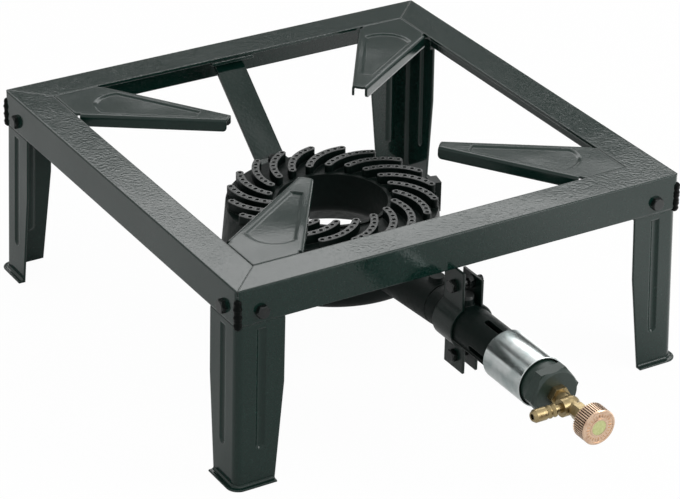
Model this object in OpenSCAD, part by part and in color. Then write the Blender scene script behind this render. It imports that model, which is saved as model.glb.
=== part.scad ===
// Stock pot burner stand: a cast-iron ring burner in a square angle-iron frame.
// Built about the ring's axis, front towards -Y, floor at z = 0, then moved as
// one by origin_shift so that the origin lies under the middle of the whole.

/* [Frame] */
// Outside width of the square frame
frame_w = 400; // [380:1:440]
// Height of the pot plane above the floor
frame_h = 168; // [160:1:200]
// Width of each flange of the angle iron
angle_w = 30; // [27:0.5:33]
// Thickness of the angle iron
angle_t = 3; // [2.5:0.25:4]
// Radius of the frame's upright corners
frame_corner_r = 4; // [3:0.5:6]
// Radius along the angle's outer heel
heel_r = 1.2; // [0.8:0.1:2]
// Radius inside the angle's root
root_r = 2.5; // [1:0.5:3]
// Width of the welded mitre seam between two rails
mitre_seam = 0.3; // [0.2:0.1:0.6]

/* [Pot supports] */
// Length of each support's edge along a rail
support_edge = 43; // [36:1:50]
// Reach of a support from the frame's inner corner, along the diagonal
support_reach = 152; // [130:1:160]
// Width of the blunt tip
support_tip_w = 13; // [10:0.5:18]
// Thickness of the support's sheet
support_t = 2; // [1.5:0.25:2.5]
// Depth of the turned-down side flange
support_flange = 10; // [8:0.5:14]
// Outside radius of the side bend
support_bend_r = 2.4; // [2:0.2:4]
// Depth of the pressed panel
panel_depth = 1.2; // [0.6:0.1:1.8]
// Width of the panel's slanted wall
panel_draft = 2.4; // [1:0.1:3.2]
// Margin between the panel and the side bend
panel_margin = 3.6; // [2.5:0.1:6]
// Distance of the panel's rounded base from the inner corner
panel_base = 37; // [32:1:44]
// Radius of the panel's rounded base
panel_base_r = 23.5; // [20:0.5:26]
// Distance of the panel's narrow end from the inner corner
panel_end = 126; // [110:1:132]
// Width of the lap that lies under the rail's top flange
lap_w = 9; // [6:0.5:12]
// Gap that shows between a support and the rails
support_gap = 0.8; // [0.5:0.1:1.2]

/* [Legs] */
// Thickness of the leg's sheet
leg_t = 1.8; // [1.5:0.1:2.5]
// Width of each leg face at the top
leg_w = 41; // [38:1:46]
// Width of each leg face at the foot
leg_foot_w = 34; // [30:1:38]
// Height above the floor at which a face starts to narrow
leg_taper_z = 84; // [60:1:110]
// Outside radius of the leg's corner bend
leg_bend_r = 6; // [4:0.5:8]
// Outward lean of the leg along the frame's diagonal, degrees
leg_lean = 2.2; // [1:0.1:3]
// Width of the out-turned lip at the foot
lip_w = 4.5; // [3:0.5:7]
// Radius of the bend above the lip
lip_fillet_r = 2; // [1:0.25:3]
// Distance of the flute's middle from the leg's corner
flute_at = 21; // [18:0.5:24]
// Radius of the flute's round section
flute_r = 5; // [4:0.5:6]
// Depth of the flute
flute_depth = 2; // [1:0.25:2.5]
// Height of the flute's lower end above the floor
flute_low_z = 35; // [25:1:60]
// Height of the leg's bolt tab behind the rail
tab_h = 25; // [22:0.5:26]

/* [Burner ring] */
// Depth of the vane tops below the pot plane
vane_down = 56; // [46:1:66]
// Height of the vanes above the ring's deck
vane_h = 8; // [5:0.5:10]
// Radius of the ring's outer wall at the deck
ring_r = 88; // [84:1:92]
// How far the outer wall flares out below the deck
ring_flare = 3.5; // [2:0.5:6]
// Radius of the ring's central opening
ring_bore_r = 46; // [42:1:48]
// Depth of the outer wall, deck to underside
ring_depth = 55; // [50:1:60]
// Depth of the inner wall, deck to underside
ring_inner_depth = 36; // [32:1:40]
// Radius of the outer lower corner
ring_outer_corner_r = 14; // [12:0.5:16]
// Radius of the inner lower corner
ring_inner_corner_r = 8; // [6:0.5:10]
// Height of the raised rim round the central opening
rim_h = 1.7; // [1:0.1:3]
// Width of that rim
rim_w = 3; // [2:0.5:5]
// Thickness of the casting's walls
ring_wall = 4; // [3:0.25:5]
// Number of ported vanes
vane_count = 20; // [16:1:20]
// Width of a vane
vane_w = 6.4; // [5.5:0.1:7]
// How far a vane's rounded ends swell past its sides
vane_swell = 0.1; // [0.08:0.01:0.3]
// Radius at which a vane's hole row starts
vane_inner_r = 52.5; // [51:0.5:55]
// Radius of the arc that a vane follows, as a share of the ring's radius
vane_arc_share = 0.4943; // [0.47:0.01:0.55]
// Distance of a vane's last port inside the ring's wall
vane_end_in = 4; // [3.8:0.1:6]
// Angle between a vane's start and the radius there, degrees
vane_lead = 29; // [20:1:35]
// Angle of the first vane's inner end about the ring, degrees
vane_phase = 8.8; // [0:0.1:18]
// Gas ports in each vane
port_count = 8; // [6:1:8]
// Diameter of a gas port
port_d = 3.4; // [2:0.1:4]
// Number of flat-topped lugs on the outer wall
lug_count = 1; // [1:1:3]
// Angle of the first lug, degrees
lug_phase = -13; // [-30:1:30]
// Width of a lug round the ring
lug_w = 13; // [10:0.5:16]
// How far a lug stands out past the flared wall
lug_proud = 1.5; // [1:0.5:4]
// Drop of a lug's top below the vane tops
lug_drop = 0.5; // [0.3:0.1:2]
// Height of a lug
lug_h = 27; // [20:1:32]

/* [Mixing tube] */
// Depth of the tube's axis below the pot plane
tube_down = 78.5; // [76:0.5:82]
// Outside radius of the tube's straight stretch
tube_r = 17.3; // [16:0.1:18.5]
// Radius of the tube's bore
tube_bore_r = 13.2; // [12:0.1:14]
// Outside radius where the tube meets the ring
tube_root_r = 19; // [18:0.5:20]
// How far the tube's axis drops on its way to the ring
tube_drop = 4.5; // [3:0.5:6]
// Length of the straight stretch behind the clamp
tube_lead = 15; // [10:1:20]
// Distance of the tube's mouth from the ring's axis
tube_end_at = 303; // [296:1:312]
// Length of the thicker head at the mouth
head_len = 45; // [40:1:50]
// Length of an air window
window_len = 40; // [30:1:44]
// Width of an air window
window_w = 5; // [4.5:0.5:8]
// Distance of the windows' front end behind the mouth
window_set_back = 30; // [26:1:32]
// Number of air windows
window_count = 4; // [2:1:4]
// Angle of the first window from the top towards the left, degrees
window_turn = 8; // [0:1:20]
// Step at which the sloping stretch of the tube starts
slope_step = 0.4; // [0.2:0.1:0.6]
// Distance of the upright boss in front of the clamp's middle
boss_ahead = 4; // [2:0.5:5]
// Radius of the boss at its top
boss_r = 6; // [5:0.5:6.5]
// Height of the boss's top above the tube's axis
boss_h = 24.5; // [22:0.5:25]
// Distance of the rear boss behind the clamp's middle
rear_boss_behind = 38; // [30:1:44]
// Height of the rear boss's top above the tube's axis
rear_boss_h = 21; // [19:0.5:24]
// Angle of the moulding ribs below the horizontal, degrees
mould_rib_drop = 22; // [0:1:30]
// Height and width of a moulding rib
mould_rib = 1.1; // [0.6:0.1:1.6]

/* [Hanger and clamp] */
// Thickness of the clamp's and hanger's sheet
clamp_t = 2; // [1.5:0.25:2.5]
// Width of the clamp band along the tube
clamp_w = 26; // [22:1:28]
// Distance of the clamp's middle behind the frame's front face
clamp_in = 2; // [1:0.25:4]
// Half the space between the two upper tabs
upper_half_gap = 7.5; // [7:0.25:9]
// Height of the upper tabs' top above the tube's axis
upper_tab_h = 38.5; // [34:0.5:40]
// Half the space between the two lower tabs
lower_half_gap = 5; // [3:0.25:7]
// Depth of the lower tabs' ends below the tube's axis
lower_tab_h = 40; // [34:0.5:44]
// Depth of the lower clamp bolt below the tube's axis
lower_bolt_h = 29.5; // [27:0.5:32]
// How far the clamp bolt shows past the right tab
clamp_bolt_show = 6.5; // [3:0.5:9]
// Height of the clamp bolt above the tube's axis
clamp_bolt_h = 32.5; // [31.5:0.25:33]
// Width of the hanger's welded flap on the rail
flap_w = 12; // [8:0.5:16]
// Height of that flap
flap_h = 20; // [14:0.5:21]

/* [Rear strap] */
// Width of the strap
strap_w = 27; // [22:1:32]
// Thickness of the strap
strap_t = 3; // [2:0.25:4]
// Width of the head under the back rail's flange
strap_head_w = 40; // [34:1:50]
// How far the head shows past the flange's inner edge
strap_show = 1.4; // [1:0.1:3]
// Depth of the rear ear's top below the pot plane
ear_down = 72; // [70:0.5:76]
// Thickness of the rear ear
ear_t = 7; // [6:0.5:8]
// Length of the head under the flange
strap_head_len = 18; // [15:0.5:22]
// Distance of the strap's lower bolt outside the ring's wall
ear_bolt_out = 9; // [8.5:0.5:12]
// Reach of the rear ear outside the ring's wall
ear_out = 21; // [18:1:24]

/* [Air shutter] */
// Length of the sleeve
shutter_len = 48; // [44:1:52]
// Wall of the sleeve
shutter_t = 1.1; // [0.8:0.1:1.5]
// Outside radius of the sleeve
shutter_r = 20.6; // [20:0.1:21.5]
// How far the sleeve stands past the tube's mouth when open
shutter_past_mouth = 3; // [2:0.5:5]

/* [Injector holder] */
// Radius of the holder's collar
collar_r = 18.2; // [17:0.1:19]
// Length of the collar
collar_len = 12; // [9:0.5:14]
// Width across the flats of the hexagon
hex_af = 37.5; // [34:0.5:38]
// Length of the hexagon
hex_len = 11; // [9:0.5:13]
// Turn of the hexagon about the tube, degrees
hex_turn = 6; // [0:1:30]
// Length of the spigot inside the tube
spigot_len = 12; // [8:0.5:13]
// Radius of the jet
jet_r = 4; // [3.5:0.25:5]
// Length of the jet
jet_len = 18; // [14:0.5:22]
// Radius of the jet's orifice
orifice_r = 0.5; // [0.3:0.05:0.8]

/* [Valve] */
// Radius of the valve's threaded stub
stub_r = 6; // [5.5:0.1:6.5]
// Length of the stub behind the valve's hexagon
stub_len = 20; // [18:0.5:22]
// Width across the flats of the valve's hexagon
valve_af = 15; // [13:0.5:16]
// Length of the valve's hexagon
valve_hex_len = 5.5; // [4:0.5:7]
// Radius of the valve's body
valve_r = 6; // [5.5:0.1:6.5]
// Length of the valve's body in front of its hexagon
valve_len = 26; // [25:0.5:29]
// Radius of the ball where the valve's body and side boss meet
valve_ball_r = 7.6; // [7.3:0.1:8]
// Radius of the valve's side boss
side_boss_r = 7; // [6.5:0.1:7.1]
// Reach of the side boss from the valve's axis
side_boss_len = 9; // [8.5:0.25:11]
// Radius of the gas chamber in the body
chamber_r = 3.1; // [3:0.05:3.4]
// Wall between the gas chamber and the gland's thread
chamber_wall = 1.4; // [1.2:0.1:1.6]
// Radius of the valve seat's hole
seat_r = 1.6; // [1.2:0.1:2]
// Depth of the valve seat in front of the hexagon
seat_depth = 2.5; // [2:0.25:3.5]
// Reach of the hose tail from the valve's axis
tail_reach = 34; // [30:0.5:40]
// Radius of the hose tail's stem
tail_stem_r = 3.6; // [3.2:0.1:4]
// Radius of the hose tail's ridges
tail_ridge_r = 5.1; // [4.6:0.1:5.6]
// Number of ridges on the hose tail
tail_ridges = 2; // [1:1:3]
// Length of the plain neck between the side boss and the ridges
tail_neck_len = 5.4; // [4:0.2:7]
// Radius of the hose tail's bore
tail_bore_r = 2.3; // [1.8:0.1:2.6]
// Length of the smooth nose at the hose tail's end
tail_nose_len = 11; // [9:0.5:12]
// Length of the cone at the nose's end
tail_cone_len = 2.2; // [1.5:0.1:3]
// Width across the flats of the gland nut
gland_af = 12; // [11.5:0.5:14]
// Length of the gland nut
gland_len = 10; // [9:0.5:12]
// Length of the gland nut's thread
gland_lap = 6; // [5:0.25:7]
// Radius of the spindle's stem
stem_r = 2.5; // [2.2:0.05:2.7]
// Thickness of the spindle's sealing ring
seal_d = 1.25; // [1.1:0.05:1.4]

/* [Knob] */
// Radius of the knob over its ribs
knob_r = 14.2; // [13:0.1:18]
// Length of the knob
knob_len = 13; // [10:0.5:16]
// Number of grip ribs
rib_count = 48; // [30:2:52]
// Depth of the grooves between the ribs
rib_depth = 1; // [0.6:0.1:1.5]
// Length of the plain rim in front of the grooves
plain_rim_len = 1.2; // [0.8:0.1:2]
// Width of the bevel round the face
face_bevel = 0.6; // [0.3:0.1:0.8]
// Wall of the knob's rim under the ribs
rim_wall = 2.4; // [2:0.1:3]
// Thickness of the knob's face
face_t = 2; // [1.8:0.1:3]
// Depth of the sunk ring in the face
dish_depth = 0.3; // [0.2:0.05:0.5]
// Width of the flat bands beside that ring
dish_margin = 1.4; // [1:0.1:2]
// Length of the knob's hub behind its rim
knob_hub_len = 4; // [3:0.5:6]
// Radius of that hub
knob_hub_r = 5; // [4.5:0.1:6]
// Radius of the plain disc in the knob's face
disc_r = 6; // [5:0.25:7]
// Thickness of that disc
disc_t = 0.8; // [0.5:0.1:1]
// Gap between the closed knob and the gland nut
knob_gap = 1.5; // [1:0.25:4]

/* [Fasteners] */
// Radius of the bolts' shanks
bolt_r = 3; // [2.5:0.1:3.2]
// Width across the flats of bolt heads and nuts
head_af = 10; // [9:0.5:11]
// Height of a bolt head
head_h = 4; // [3:0.25:5]
// Height of a nut
nut_h = 5; // [4:0.25:6]
// Distance of the leg bolts from the frame's corner
leg_bolt_in = 21; // [20:0.5:23]
// Distance of the leg bolts below the pot plane
leg_bolt_down = 21; // [18:0.5:22]

/* [Clearances] */
// Gap round a fixed shank, stub or spigot
fit_gap = 0.1; // [0.05:0.01:0.15]
// Gap round a piece that turns or slides
run_gap = 0.05; // [0.03:0.01:0.08]
// Gap round a bolt in a clearance hole
hole_gap = 0.25; // [0.15:0.05:0.4]
// Gap between sheets that sit near each other
seat_gap = 0.25; // [0.2:0.05:0.4]

/* [Hidden] */
$fn = 96;

enamel = "#2f3a36";
iron = "#252b29";
black_zinc = "#1c1f1e";
bright_zinc = "#c4c9cb";
brass = "#b8924f";
yellow_zinc = "#caa27c";
seal_black = "#141414";
disc_green = "#a9b07c";

// Cuts run past the faces that they open by this much
over = 1;
corner_turns = [0, 90, 180, 270];

half_w = frame_w / 2;
inner_half = half_w - angle_w;
flange_under_z = frame_h - angle_t;
rail_low_z = frame_h - angle_w;
vane_top_z = frame_h - vane_down;
tube_z = frame_h - tube_down;
ear_top_z = frame_h - ear_down;

deck_z = vane_top_z - vane_h;
ring_low_z = deck_z - ring_depth;
flared_r = ring_r + ring_flare;
outer_corner = [flared_r - ring_outer_corner_r, ring_low_z + ring_outer_corner_r];
inner_corner = [
  ring_bore_r + ring_inner_corner_r,
  deck_z - ring_inner_depth + ring_inner_corner_r
];

boss_root_share = 1.4;
holder_chamfer_share = 0.08;
ridge_band_share = 0.25;
ridge_slope_share = 0.55;

clamp_at = half_w - clamp_in;
tube_straight_at = clamp_at - clamp_w / 2 - tube_lead;
boss_at = clamp_at + boss_ahead;
rear_boss_at = clamp_at - rear_boss_behind;
strap_bolt_at = ring_r + ear_bolt_out;
ear_reach = ring_r + ear_out;

head_r = shutter_r - shutter_t - run_gap;
collar_end_at = tube_end_at + collar_len;
hex_end_at = collar_end_at + hex_len;
valve_hex_end_at = hex_end_at + valve_hex_len;
valve_end_at = valve_hex_end_at + valve_len;
seat_at = valve_hex_end_at + seat_depth;
gland_end_at = valve_end_at + gland_len - gland_lap;
knob_back_at = gland_end_at + knob_gap;
knob_face_at = knob_back_at + knob_hub_len + knob_len;
tail_y_at = valve_end_at - gland_lap - seat_gap - valve_ball_r;

lean_drop = leg_w / sqrt(2) * sin(leg_lean);
leg_pivot_z = rail_low_z - seat_gap - leg_t;
foot_shift = leg_pivot_z * tan(leg_lean) / sqrt(2);
foot_reach = half_w + foot_shift + lip_w;
origin_shift = (knob_face_at - foot_reach) / 2;

clamp_ri = tube_r + fit_gap;
hanger_x = upper_half_gap + clamp_t;

module placed() {
  translate([0, origin_shift, 0]) children();
}

// Turns a shape that is drawn upwards so that it runs forwards from y = -at
module forward(at) {
  translate([0, -at, tube_z]) rotate([90, 0, 0]) children();
}

module hexagon(af, h) {
  cylinder(r = af / 2 / cos(30), h = h, $fn = 6);
}

// Hexagon with its outer end turned to a cone
module turned_hexagon(af, h, chamfer_share = 0.12) {
  cone_h = af * chamfer_share;
  intersection() {
    hexagon(af, h);
    union() {
      translate([0, 0, -over]) cylinder(r = af, h = h + over - cone_h);
      translate([0, 0, h - 2 * cone_h])
        cylinder(r1 = af / 2 + cone_h, r2 = af / 2 - cone_h / 4, h = 2 * cone_h);
    }
  }
}

// Bolt along +Z: its head sits below z = 0 and its shank above
module bolt(shank_len) {
  mirror([0, 0, 1]) turned_hexagon(head_af, head_h);
  cylinder(r = bolt_r, h = shank_len);
}

module nut() {
  difference() {
    turned_hexagon(head_af, nut_h);
    translate([0, 0, -over]) cylinder(r = bolt_r + fit_gap, h = nut_h + 2 * over);
  }
}

// FRAME

module rounded_square(w, r, h) {
  linear_extrude(h) {
    square([w - 2 * r, w], center = true);
    square([w, w - 2 * r], center = true);
    for (turn = corner_turns) rotate(turn) translate([w / 2 - r, w / 2 - r]) circle(r);
  }
}

module angle_profile() {
  translate([heel_r, -heel_r]) circle(heel_r);
  translate([heel_r, -angle_t]) square([angle_w - heel_r, angle_t]);
  translate([0, -angle_w]) square([angle_t, angle_w - heel_r]);
  difference() {
    translate([angle_t, -angle_t - root_r]) square(root_r);
    translate([angle_t + root_r, -angle_t - root_r]) circle(root_r);
  }
}

module rail_bolt_holes() {
  for (side = [-1, 1])
    translate([side * (half_w - leg_bolt_in), -half_w - over, frame_h - leg_bolt_down])
      rotate([-90, 0, 0]) cylinder(r = bolt_r + hole_gap, h = angle_t + 2 * over);
}

module rail(turn) {
  seam = mitre_seam / sqrt(2);
  rotate([0, 0, turn]) difference() {
    intersection() {
      translate([-half_w, -half_w, frame_h])
        rotate([90, 0, 90]) linear_extrude(frame_w) angle_profile();
      linear_extrude(frame_h + over)
        polygon([[0, -seam], [frame_w, -frame_w - seam], [-frame_w, -frame_w - seam]]);
      rounded_square(frame_w, frame_corner_r, frame_h + over);
    }
    rail_bolt_holes();
  }
}

module front_rail() {
  color(enamel) placed() rail(0);
}

module right_rail() {
  color(enamel) placed() rail(90);
}

module back_rail() {
  color(enamel) placed() rail(180);
}

module left_rail() {
  color(enamel) placed() rail(270);
}

// POT SUPPORTS

shoulder = support_edge / sqrt(2);
side_run = support_reach - shoulder;
side_narrow = shoulder - support_tip_w / 2;
side_angle = atan(side_narrow / side_run);
side_len = sqrt(side_run * side_run + side_narrow * side_narrow);
// Distance from the inner corner at which the two slanted sides would meet
sides_meet = shoulder + side_run * shoulder / side_narrow;

// Wedge between lines that run inside the slanted sides by inset
module support_wedge(inset) {
  meet = sides_meet - inset / sin(side_angle);
  half = meet * tan(side_angle);
  polygon([[0, half], [0, -half], [meet, 0]]);
}

// Flat outline of the plate, its slanted sides drawn in by inset
module support_outline(inset) {
  intersection() {
    support_wedge(inset);
    polygon([
      [support_gap * sqrt(2), 0],
      [support_reach, support_reach],
      [support_reach, -support_reach]
    ]);
    translate([0, -support_reach]) square([support_reach, 2 * support_reach]);
  }
}

// Outline of the pressed panel, grown by grow
module panel_outline(grow) {
  inset = support_bend_r + panel_margin - grow;
  intersection() {
    support_wedge(inset);
    union() {
      translate([panel_base + panel_base_r, 0]) circle(panel_base_r + grow);
      translate([panel_base + panel_base_r, -shoulder])
        square([panel_end - panel_base - panel_base_r, 2 * shoulder]);
    }
  }
}

// The panel from its slanted walls' foot at -panel_depth up to a height above zero
module panel_block(grow, up) {
  hull() {
    linear_extrude(up) panel_outline(grow);
    translate([0, 0, -panel_depth]) linear_extrude(fit_gap) panel_outline(grow - panel_draft);
  }
}

// Section of the side: a strip of the plate, the round bend and the turned-down flange
module side_section() {
  inner_r = support_bend_r - support_t;
  strip = support_bend_r + panel_margin / 2;
  translate([-strip, -support_t]) square([strip - support_bend_r, support_t]);
  translate([-support_bend_r, -support_bend_r]) intersection() {
    square(support_bend_r);
    difference() {
      circle(support_bend_r);
      circle(inner_r);
    }
  }
  translate([-support_t, -support_flange]) square([support_t, support_flange - support_bend_r]);
}

// One slanted side, its flange's lower corner rounded at the tip
module support_side() {
  corner_r = support_flange / 3;
  side_from = support_flange / 3;
  translate([shoulder, shoulder, 0]) rotate(-side_angle) difference() {
    translate([side_from, 0, 0]) rotate([90, 0, 90]) linear_extrude(side_len - side_from)
      side_section();
    translate([side_len - corner_r, over, corner_r - support_flange]) rotate([90, 0, 0])
      linear_extrude(support_t + 2 * over) difference() {
        translate([0, -corner_r - over]) square([corner_r + over, corner_r + over]);
        circle(corner_r);
      }
  }
}

module support_plate() {
  difference() {
    union() {
      translate([0, 0, -support_t]) linear_extrude(support_t)
        support_outline(support_bend_r + panel_margin / 4);
      translate([0, 0, -support_t]) panel_block(support_t / 2, support_t / 2);
    }
    panel_block(0, over);
  }
}

// Lap under the rails' top flanges, joined to the plate by a pressed step
module support_lap() {
  lap_len = support_edge - support_gap - support_bend_r;
  riser_back = support_gap + fit_gap + support_t;
  for (side = [0, 1]) mirror([0, side, 0]) rotate(45) {
    translate([support_gap, -riser_back, -angle_t - support_t])
      cube([lap_len, lap_w + riser_back, support_t]);
    translate([support_gap, -riser_back, -angle_t - support_t])
      cube([lap_len, support_t, angle_t + support_t / 2]);
  }
}

module pot_support(turn) {
  rotate([0, 0, turn])
    translate([-inner_half, -inner_half, frame_h]) rotate([0, 0, 45]) {
      support_plate();
      support_lap();
      support_side();
      mirror([0, 1, 0]) support_side();
    }
}

module pot_support_front_left() {
  color(enamel) placed() pot_support(0);
}

module pot_support_front_right() {
  color(enamel) placed() pot_support(90);
}

module pot_support_back_right() {
  color(enamel) placed() pot_support(180);
}

module pot_support_back_left() {
  color(enamel) placed() pot_support(270);
}

// LEGS

// Square block in plan with one rounded corner at [out, out]
module corner_block(out, r, w) {
  translate([out + r, out]) square([w - out - r, w - out]);
  translate([out, out + r]) square([w - out, w - out - r]);
  translate([out + r, out + r]) circle(r);
}

// L-shaped section in plan, its heel at [out, out], reaching w along both faces
module bent_section(out, t, r, w) {
  difference() {
    corner_block(out, r, w);
    corner_block(out + t, max(r - t, heel_r), w + t);
  }
}

// Front view of the space that a leg's faces fill, x from the corner
module leg_taper() {
  polygon([
    [-over, -over],
    [leg_foot_w, -over],
    [leg_foot_w, 0],
    [leg_w, leg_taper_z],
    [leg_w, leg_pivot_z + 2 * leg_t],
    [-over, leg_pivot_z + 2 * leg_t]
  ]);
}

module flute(r, low, high) {
  translate([flute_at, flute_depth - flute_r, low]) {
    cylinder(r = r, h = high - low);
    sphere(r);
  }
}

// Groove of the flute, or with grow its swelled back
module flutes(grow) {
  for (side = [0, 1]) mirror([side, -side, 0])
    flute(flute_r + grow, flute_low_z, leg_pivot_z - lean_drop - flute_depth);
}

module leg_shell() {
  difference() {
    union() {
      intersection() {
        translate([0, 0, -over]) linear_extrude(leg_pivot_z + over + leg_t)
          bent_section(0, leg_t, leg_bend_r, 2 * leg_w);
        translate([0, 2 * leg_w, 0]) rotate([90, 0, 0]) linear_extrude(3 * leg_w) leg_taper();
        mirror([1, -1, 0]) translate([0, 2 * leg_w, 0]) rotate([90, 0, 0])
          linear_extrude(3 * leg_w) leg_taper();
      }
      intersection() {
        flutes(leg_t);
        translate([leg_t / 2, leg_t / 2, 0]) cube([leg_foot_w, leg_foot_w, leg_pivot_z]);
      }
    }
    flutes(0);
  }
}

// Section of the foot lip, x outwards from the leg's outer face
module lip_section() {
  translate([-leg_t, 0]) square([leg_t + lip_w - leg_t / 2, leg_t]);
  translate([lip_w - leg_t / 2, leg_t / 2]) circle(leg_t / 2);
  difference() {
    translate([0, leg_t]) square(lip_fillet_r);
    translate([lip_fillet_r, leg_t + lip_fillet_r]) circle(lip_fillet_r);
  }
}

module lip_side() {
  translate([leg_bend_r, 0, 0]) rotate([90, 0, 90]) mirror([1, 0, 0])
    linear_extrude(leg_foot_w - leg_bend_r) lip_section();
}

module foot_lip() {
  lip_side();
  mirror([1, -1, 0]) lip_side();
  translate([leg_bend_r, leg_bend_r, 0]) rotate(180) rotate_extrude(angle = 90)
    translate([leg_bend_r, 0]) lip_section();
}

// The step over the rail's lower edge and the tab behind the rail
module leg_tab() {
  translate([0, 0, leg_pivot_z]) linear_extrude(leg_t)
    bent_section(seat_gap, angle_t + leg_t - seat_gap, leg_bend_r, leg_w);
  translate([0, 0, leg_pivot_z]) linear_extrude(tab_h)
    bent_section(angle_t, leg_t, leg_bend_r - angle_t / 2, leg_w);
}

module leg_bolt_holes() {
  for (side = [0, 1]) mirror([side, -side, 0])
    translate([leg_bolt_in, angle_t - over, frame_h - leg_bolt_down])
      rotate([-90, 0, 0]) cylinder(r = bolt_r + hole_gap, h = leg_t + 2 * over);
}

module leg(turn) {
  rotate([0, 0, turn]) translate([-half_w, -half_w, 0]) difference() {
    union() {
      intersection() {
        translate([0, 0, leg_pivot_z]) rotate(a = -leg_lean, v = [1, -1, 0])
          translate([0, 0, -leg_pivot_z]) leg_shell();
        translate([-leg_w, -leg_w, 0]) cube([3 * leg_w, 3 * leg_w, leg_pivot_z + leg_t / 2]);
      }
      translate([-foot_shift, -foot_shift, 0]) foot_lip();
      leg_tab();
    }
    leg_bolt_holes();
  }
}

module leg_front_left() {
  color(enamel) placed() leg(0);
}

module leg_front_right() {
  color(enamel) placed() leg(90);
}

module leg_back_right() {
  color(enamel) placed() leg(180);
}

module leg_back_left() {
  color(enamel) placed() leg(270);
}

// Repeats a fastener at the eight leg bolts, z pointing into the frame
module at_leg_bolts(depth) {
  for (turn = corner_turns) rotate([0, 0, turn]) for (side = [-1, 1])
    translate([side * (half_w - leg_bolt_in), -half_w + depth, frame_h - leg_bolt_down])
      rotate([-90, 0, 0]) children();
}

module leg_bolts() {
  color(black_zinc) placed() at_leg_bolts(0) bolt(angle_t + leg_t + nut_h + bolt_r / 2);
}

module leg_nuts() {
  color(black_zinc) placed() at_leg_bolts(angle_t + leg_t) nut();
}

// BURNER CASTING

// Closed section of the ring, drawn in by inset on every side
module ring_section(inset) {
  ro = ring_outer_corner_r - inset;
  ri = ring_inner_corner_r - inset;
  along = outer_corner - inner_corner;
  normal_a = atan2(along[1], along[0]) - acos((ri - ro) / norm(along));
  low_normal = [cos(normal_a), sin(normal_a)];
  top = deck_z - inset;
  polygon([
    [ring_bore_r + inset, top],
    [ring_bore_r + inset, inner_corner[1]],
    inner_corner,
    inner_corner + ri * low_normal,
    outer_corner + ro * low_normal,
    outer_corner,
    [flared_r - inset, outer_corner[1]],
    [ring_r - inset, top]
  ]);
  translate(inner_corner) circle(ri);
  translate(outer_corner) circle(ro);
}

module ring_shell() {
  rotate_extrude() ring_section(0);
  rotate_extrude() translate([ring_bore_r, deck_z - ring_wall])
    square([rim_w, rim_h + ring_wall]);
}

// Centre of the arc that the first vane follows, and where its row starts on it
vane_arc_r = ring_r * vane_arc_share;
vane_centre = [
  vane_inner_r - vane_arc_r * sin(vane_lead),
  -vane_arc_r * cos(vane_lead)
];
vane_start_a = 90 - vane_lead;

// Angle at the arc's centre between the outward direction and the point at a radius
function vane_turn_at(r) = acos(
  (r * r - vane_centre * vane_centre - vane_arc_r * vane_arc_r)
  / (2 * norm(vane_centre) * vane_arc_r)
);
vane_sweep = vane_turn_at(vane_inner_r) - vane_turn_at(ring_r - vane_end_in);

// Puts a child at a place along the first vane, share running from 0 to 1
module on_vane(share) {
  translate(vane_centre) rotate(vane_start_a - share * vane_sweep)
    translate([vane_arc_r, 0]) children();
}

module at_vanes() {
  for (i = [0:vane_count - 1]) rotate(vane_phase + i * 360 / vane_count) children();
}

// Plan of the first vane: a bent bar, slightly swelled at its two ends
module vane_plan() {
  far = 2 * vane_arc_r;
  intersection() {
    translate(vane_centre) difference() {
      circle(vane_arc_r + vane_w / 2);
      circle(vane_arc_r - vane_w / 2);
    }
    translate(vane_centre) rotate(vane_start_a - vane_sweep)
      polygon([
        [0, 0],
        [far, 0],
        [far * cos(vane_sweep / 2), far * sin(vane_sweep / 2)],
        [far * cos(vane_sweep), far * sin(vane_sweep)]
      ]);
  }
  for (end_share = [0, 1]) on_vane(end_share) circle(vane_w / 2 + vane_swell);
}

module vanes() {
  sink = ring_wall / 2;
  translate([0, 0, deck_z - sink]) at_vanes() linear_extrude(vane_h + sink) vane_plan();
}

module vane_ports() {
  for (k = [0:port_count - 1]) on_vane(k / (port_count - 1))
    translate([0, 0, deck_z - ring_wall - over])
      cylinder(r = port_d / 2, h = ring_wall + vane_h + 2 * over);
}

module ring_lugs() {
  for (i = [0:lug_count - 1]) rotate(lug_phase + i * 360 / lug_count)
    translate([ring_r - ring_wall, -lug_w / 2, vane_top_z - lug_h - lug_drop])
      cube([ring_flare + lug_proud + ring_wall, lug_w, lug_h]);
}

// Ear that the rear strap is bolted to
module rear_ear() {
  bolt_at = strap_bolt_at;
  difference() {
    union() {
      translate([-strap_w / 2, ring_r - ring_wall / 2, ear_top_z - ear_t])
        cube([strap_w, bolt_at - ring_r + ring_wall / 2, ear_t]);
      translate([0, bolt_at, ear_top_z - ear_t]) intersection() {
        cylinder(r = strap_w / 2, h = ear_t);
        translate([-strap_w / 2, 0, 0]) cube([strap_w, ear_reach - bolt_at, ear_t]);
      }
    }
    translate([0, bolt_at, ear_top_z - ear_t - over])
      cylinder(r = bolt_r + hole_gap, h = ear_t + 2 * over);
  }
}

// Sloping stretch of the tube or of its bore, from the straight part to the ring
module tube_slope(r_straight, r_root, reach_in) {
  run = tube_straight_at - reach_in;
  lean = atan(tube_drop / (tube_straight_at - ring_r));
  forward(tube_straight_at) rotate([180 - lean, 0, 0])
    cylinder(r1 = r_straight, r2 = r_root, h = run / cos(lean));
}

// Upright boss on the tube, wider at its root
module tube_boss(at, h) {
  forward(at) rotate([-90, 0, 0]) cylinder(r1 = boss_r * boss_root_share, r2 = boss_r, h = h);
}

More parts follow.
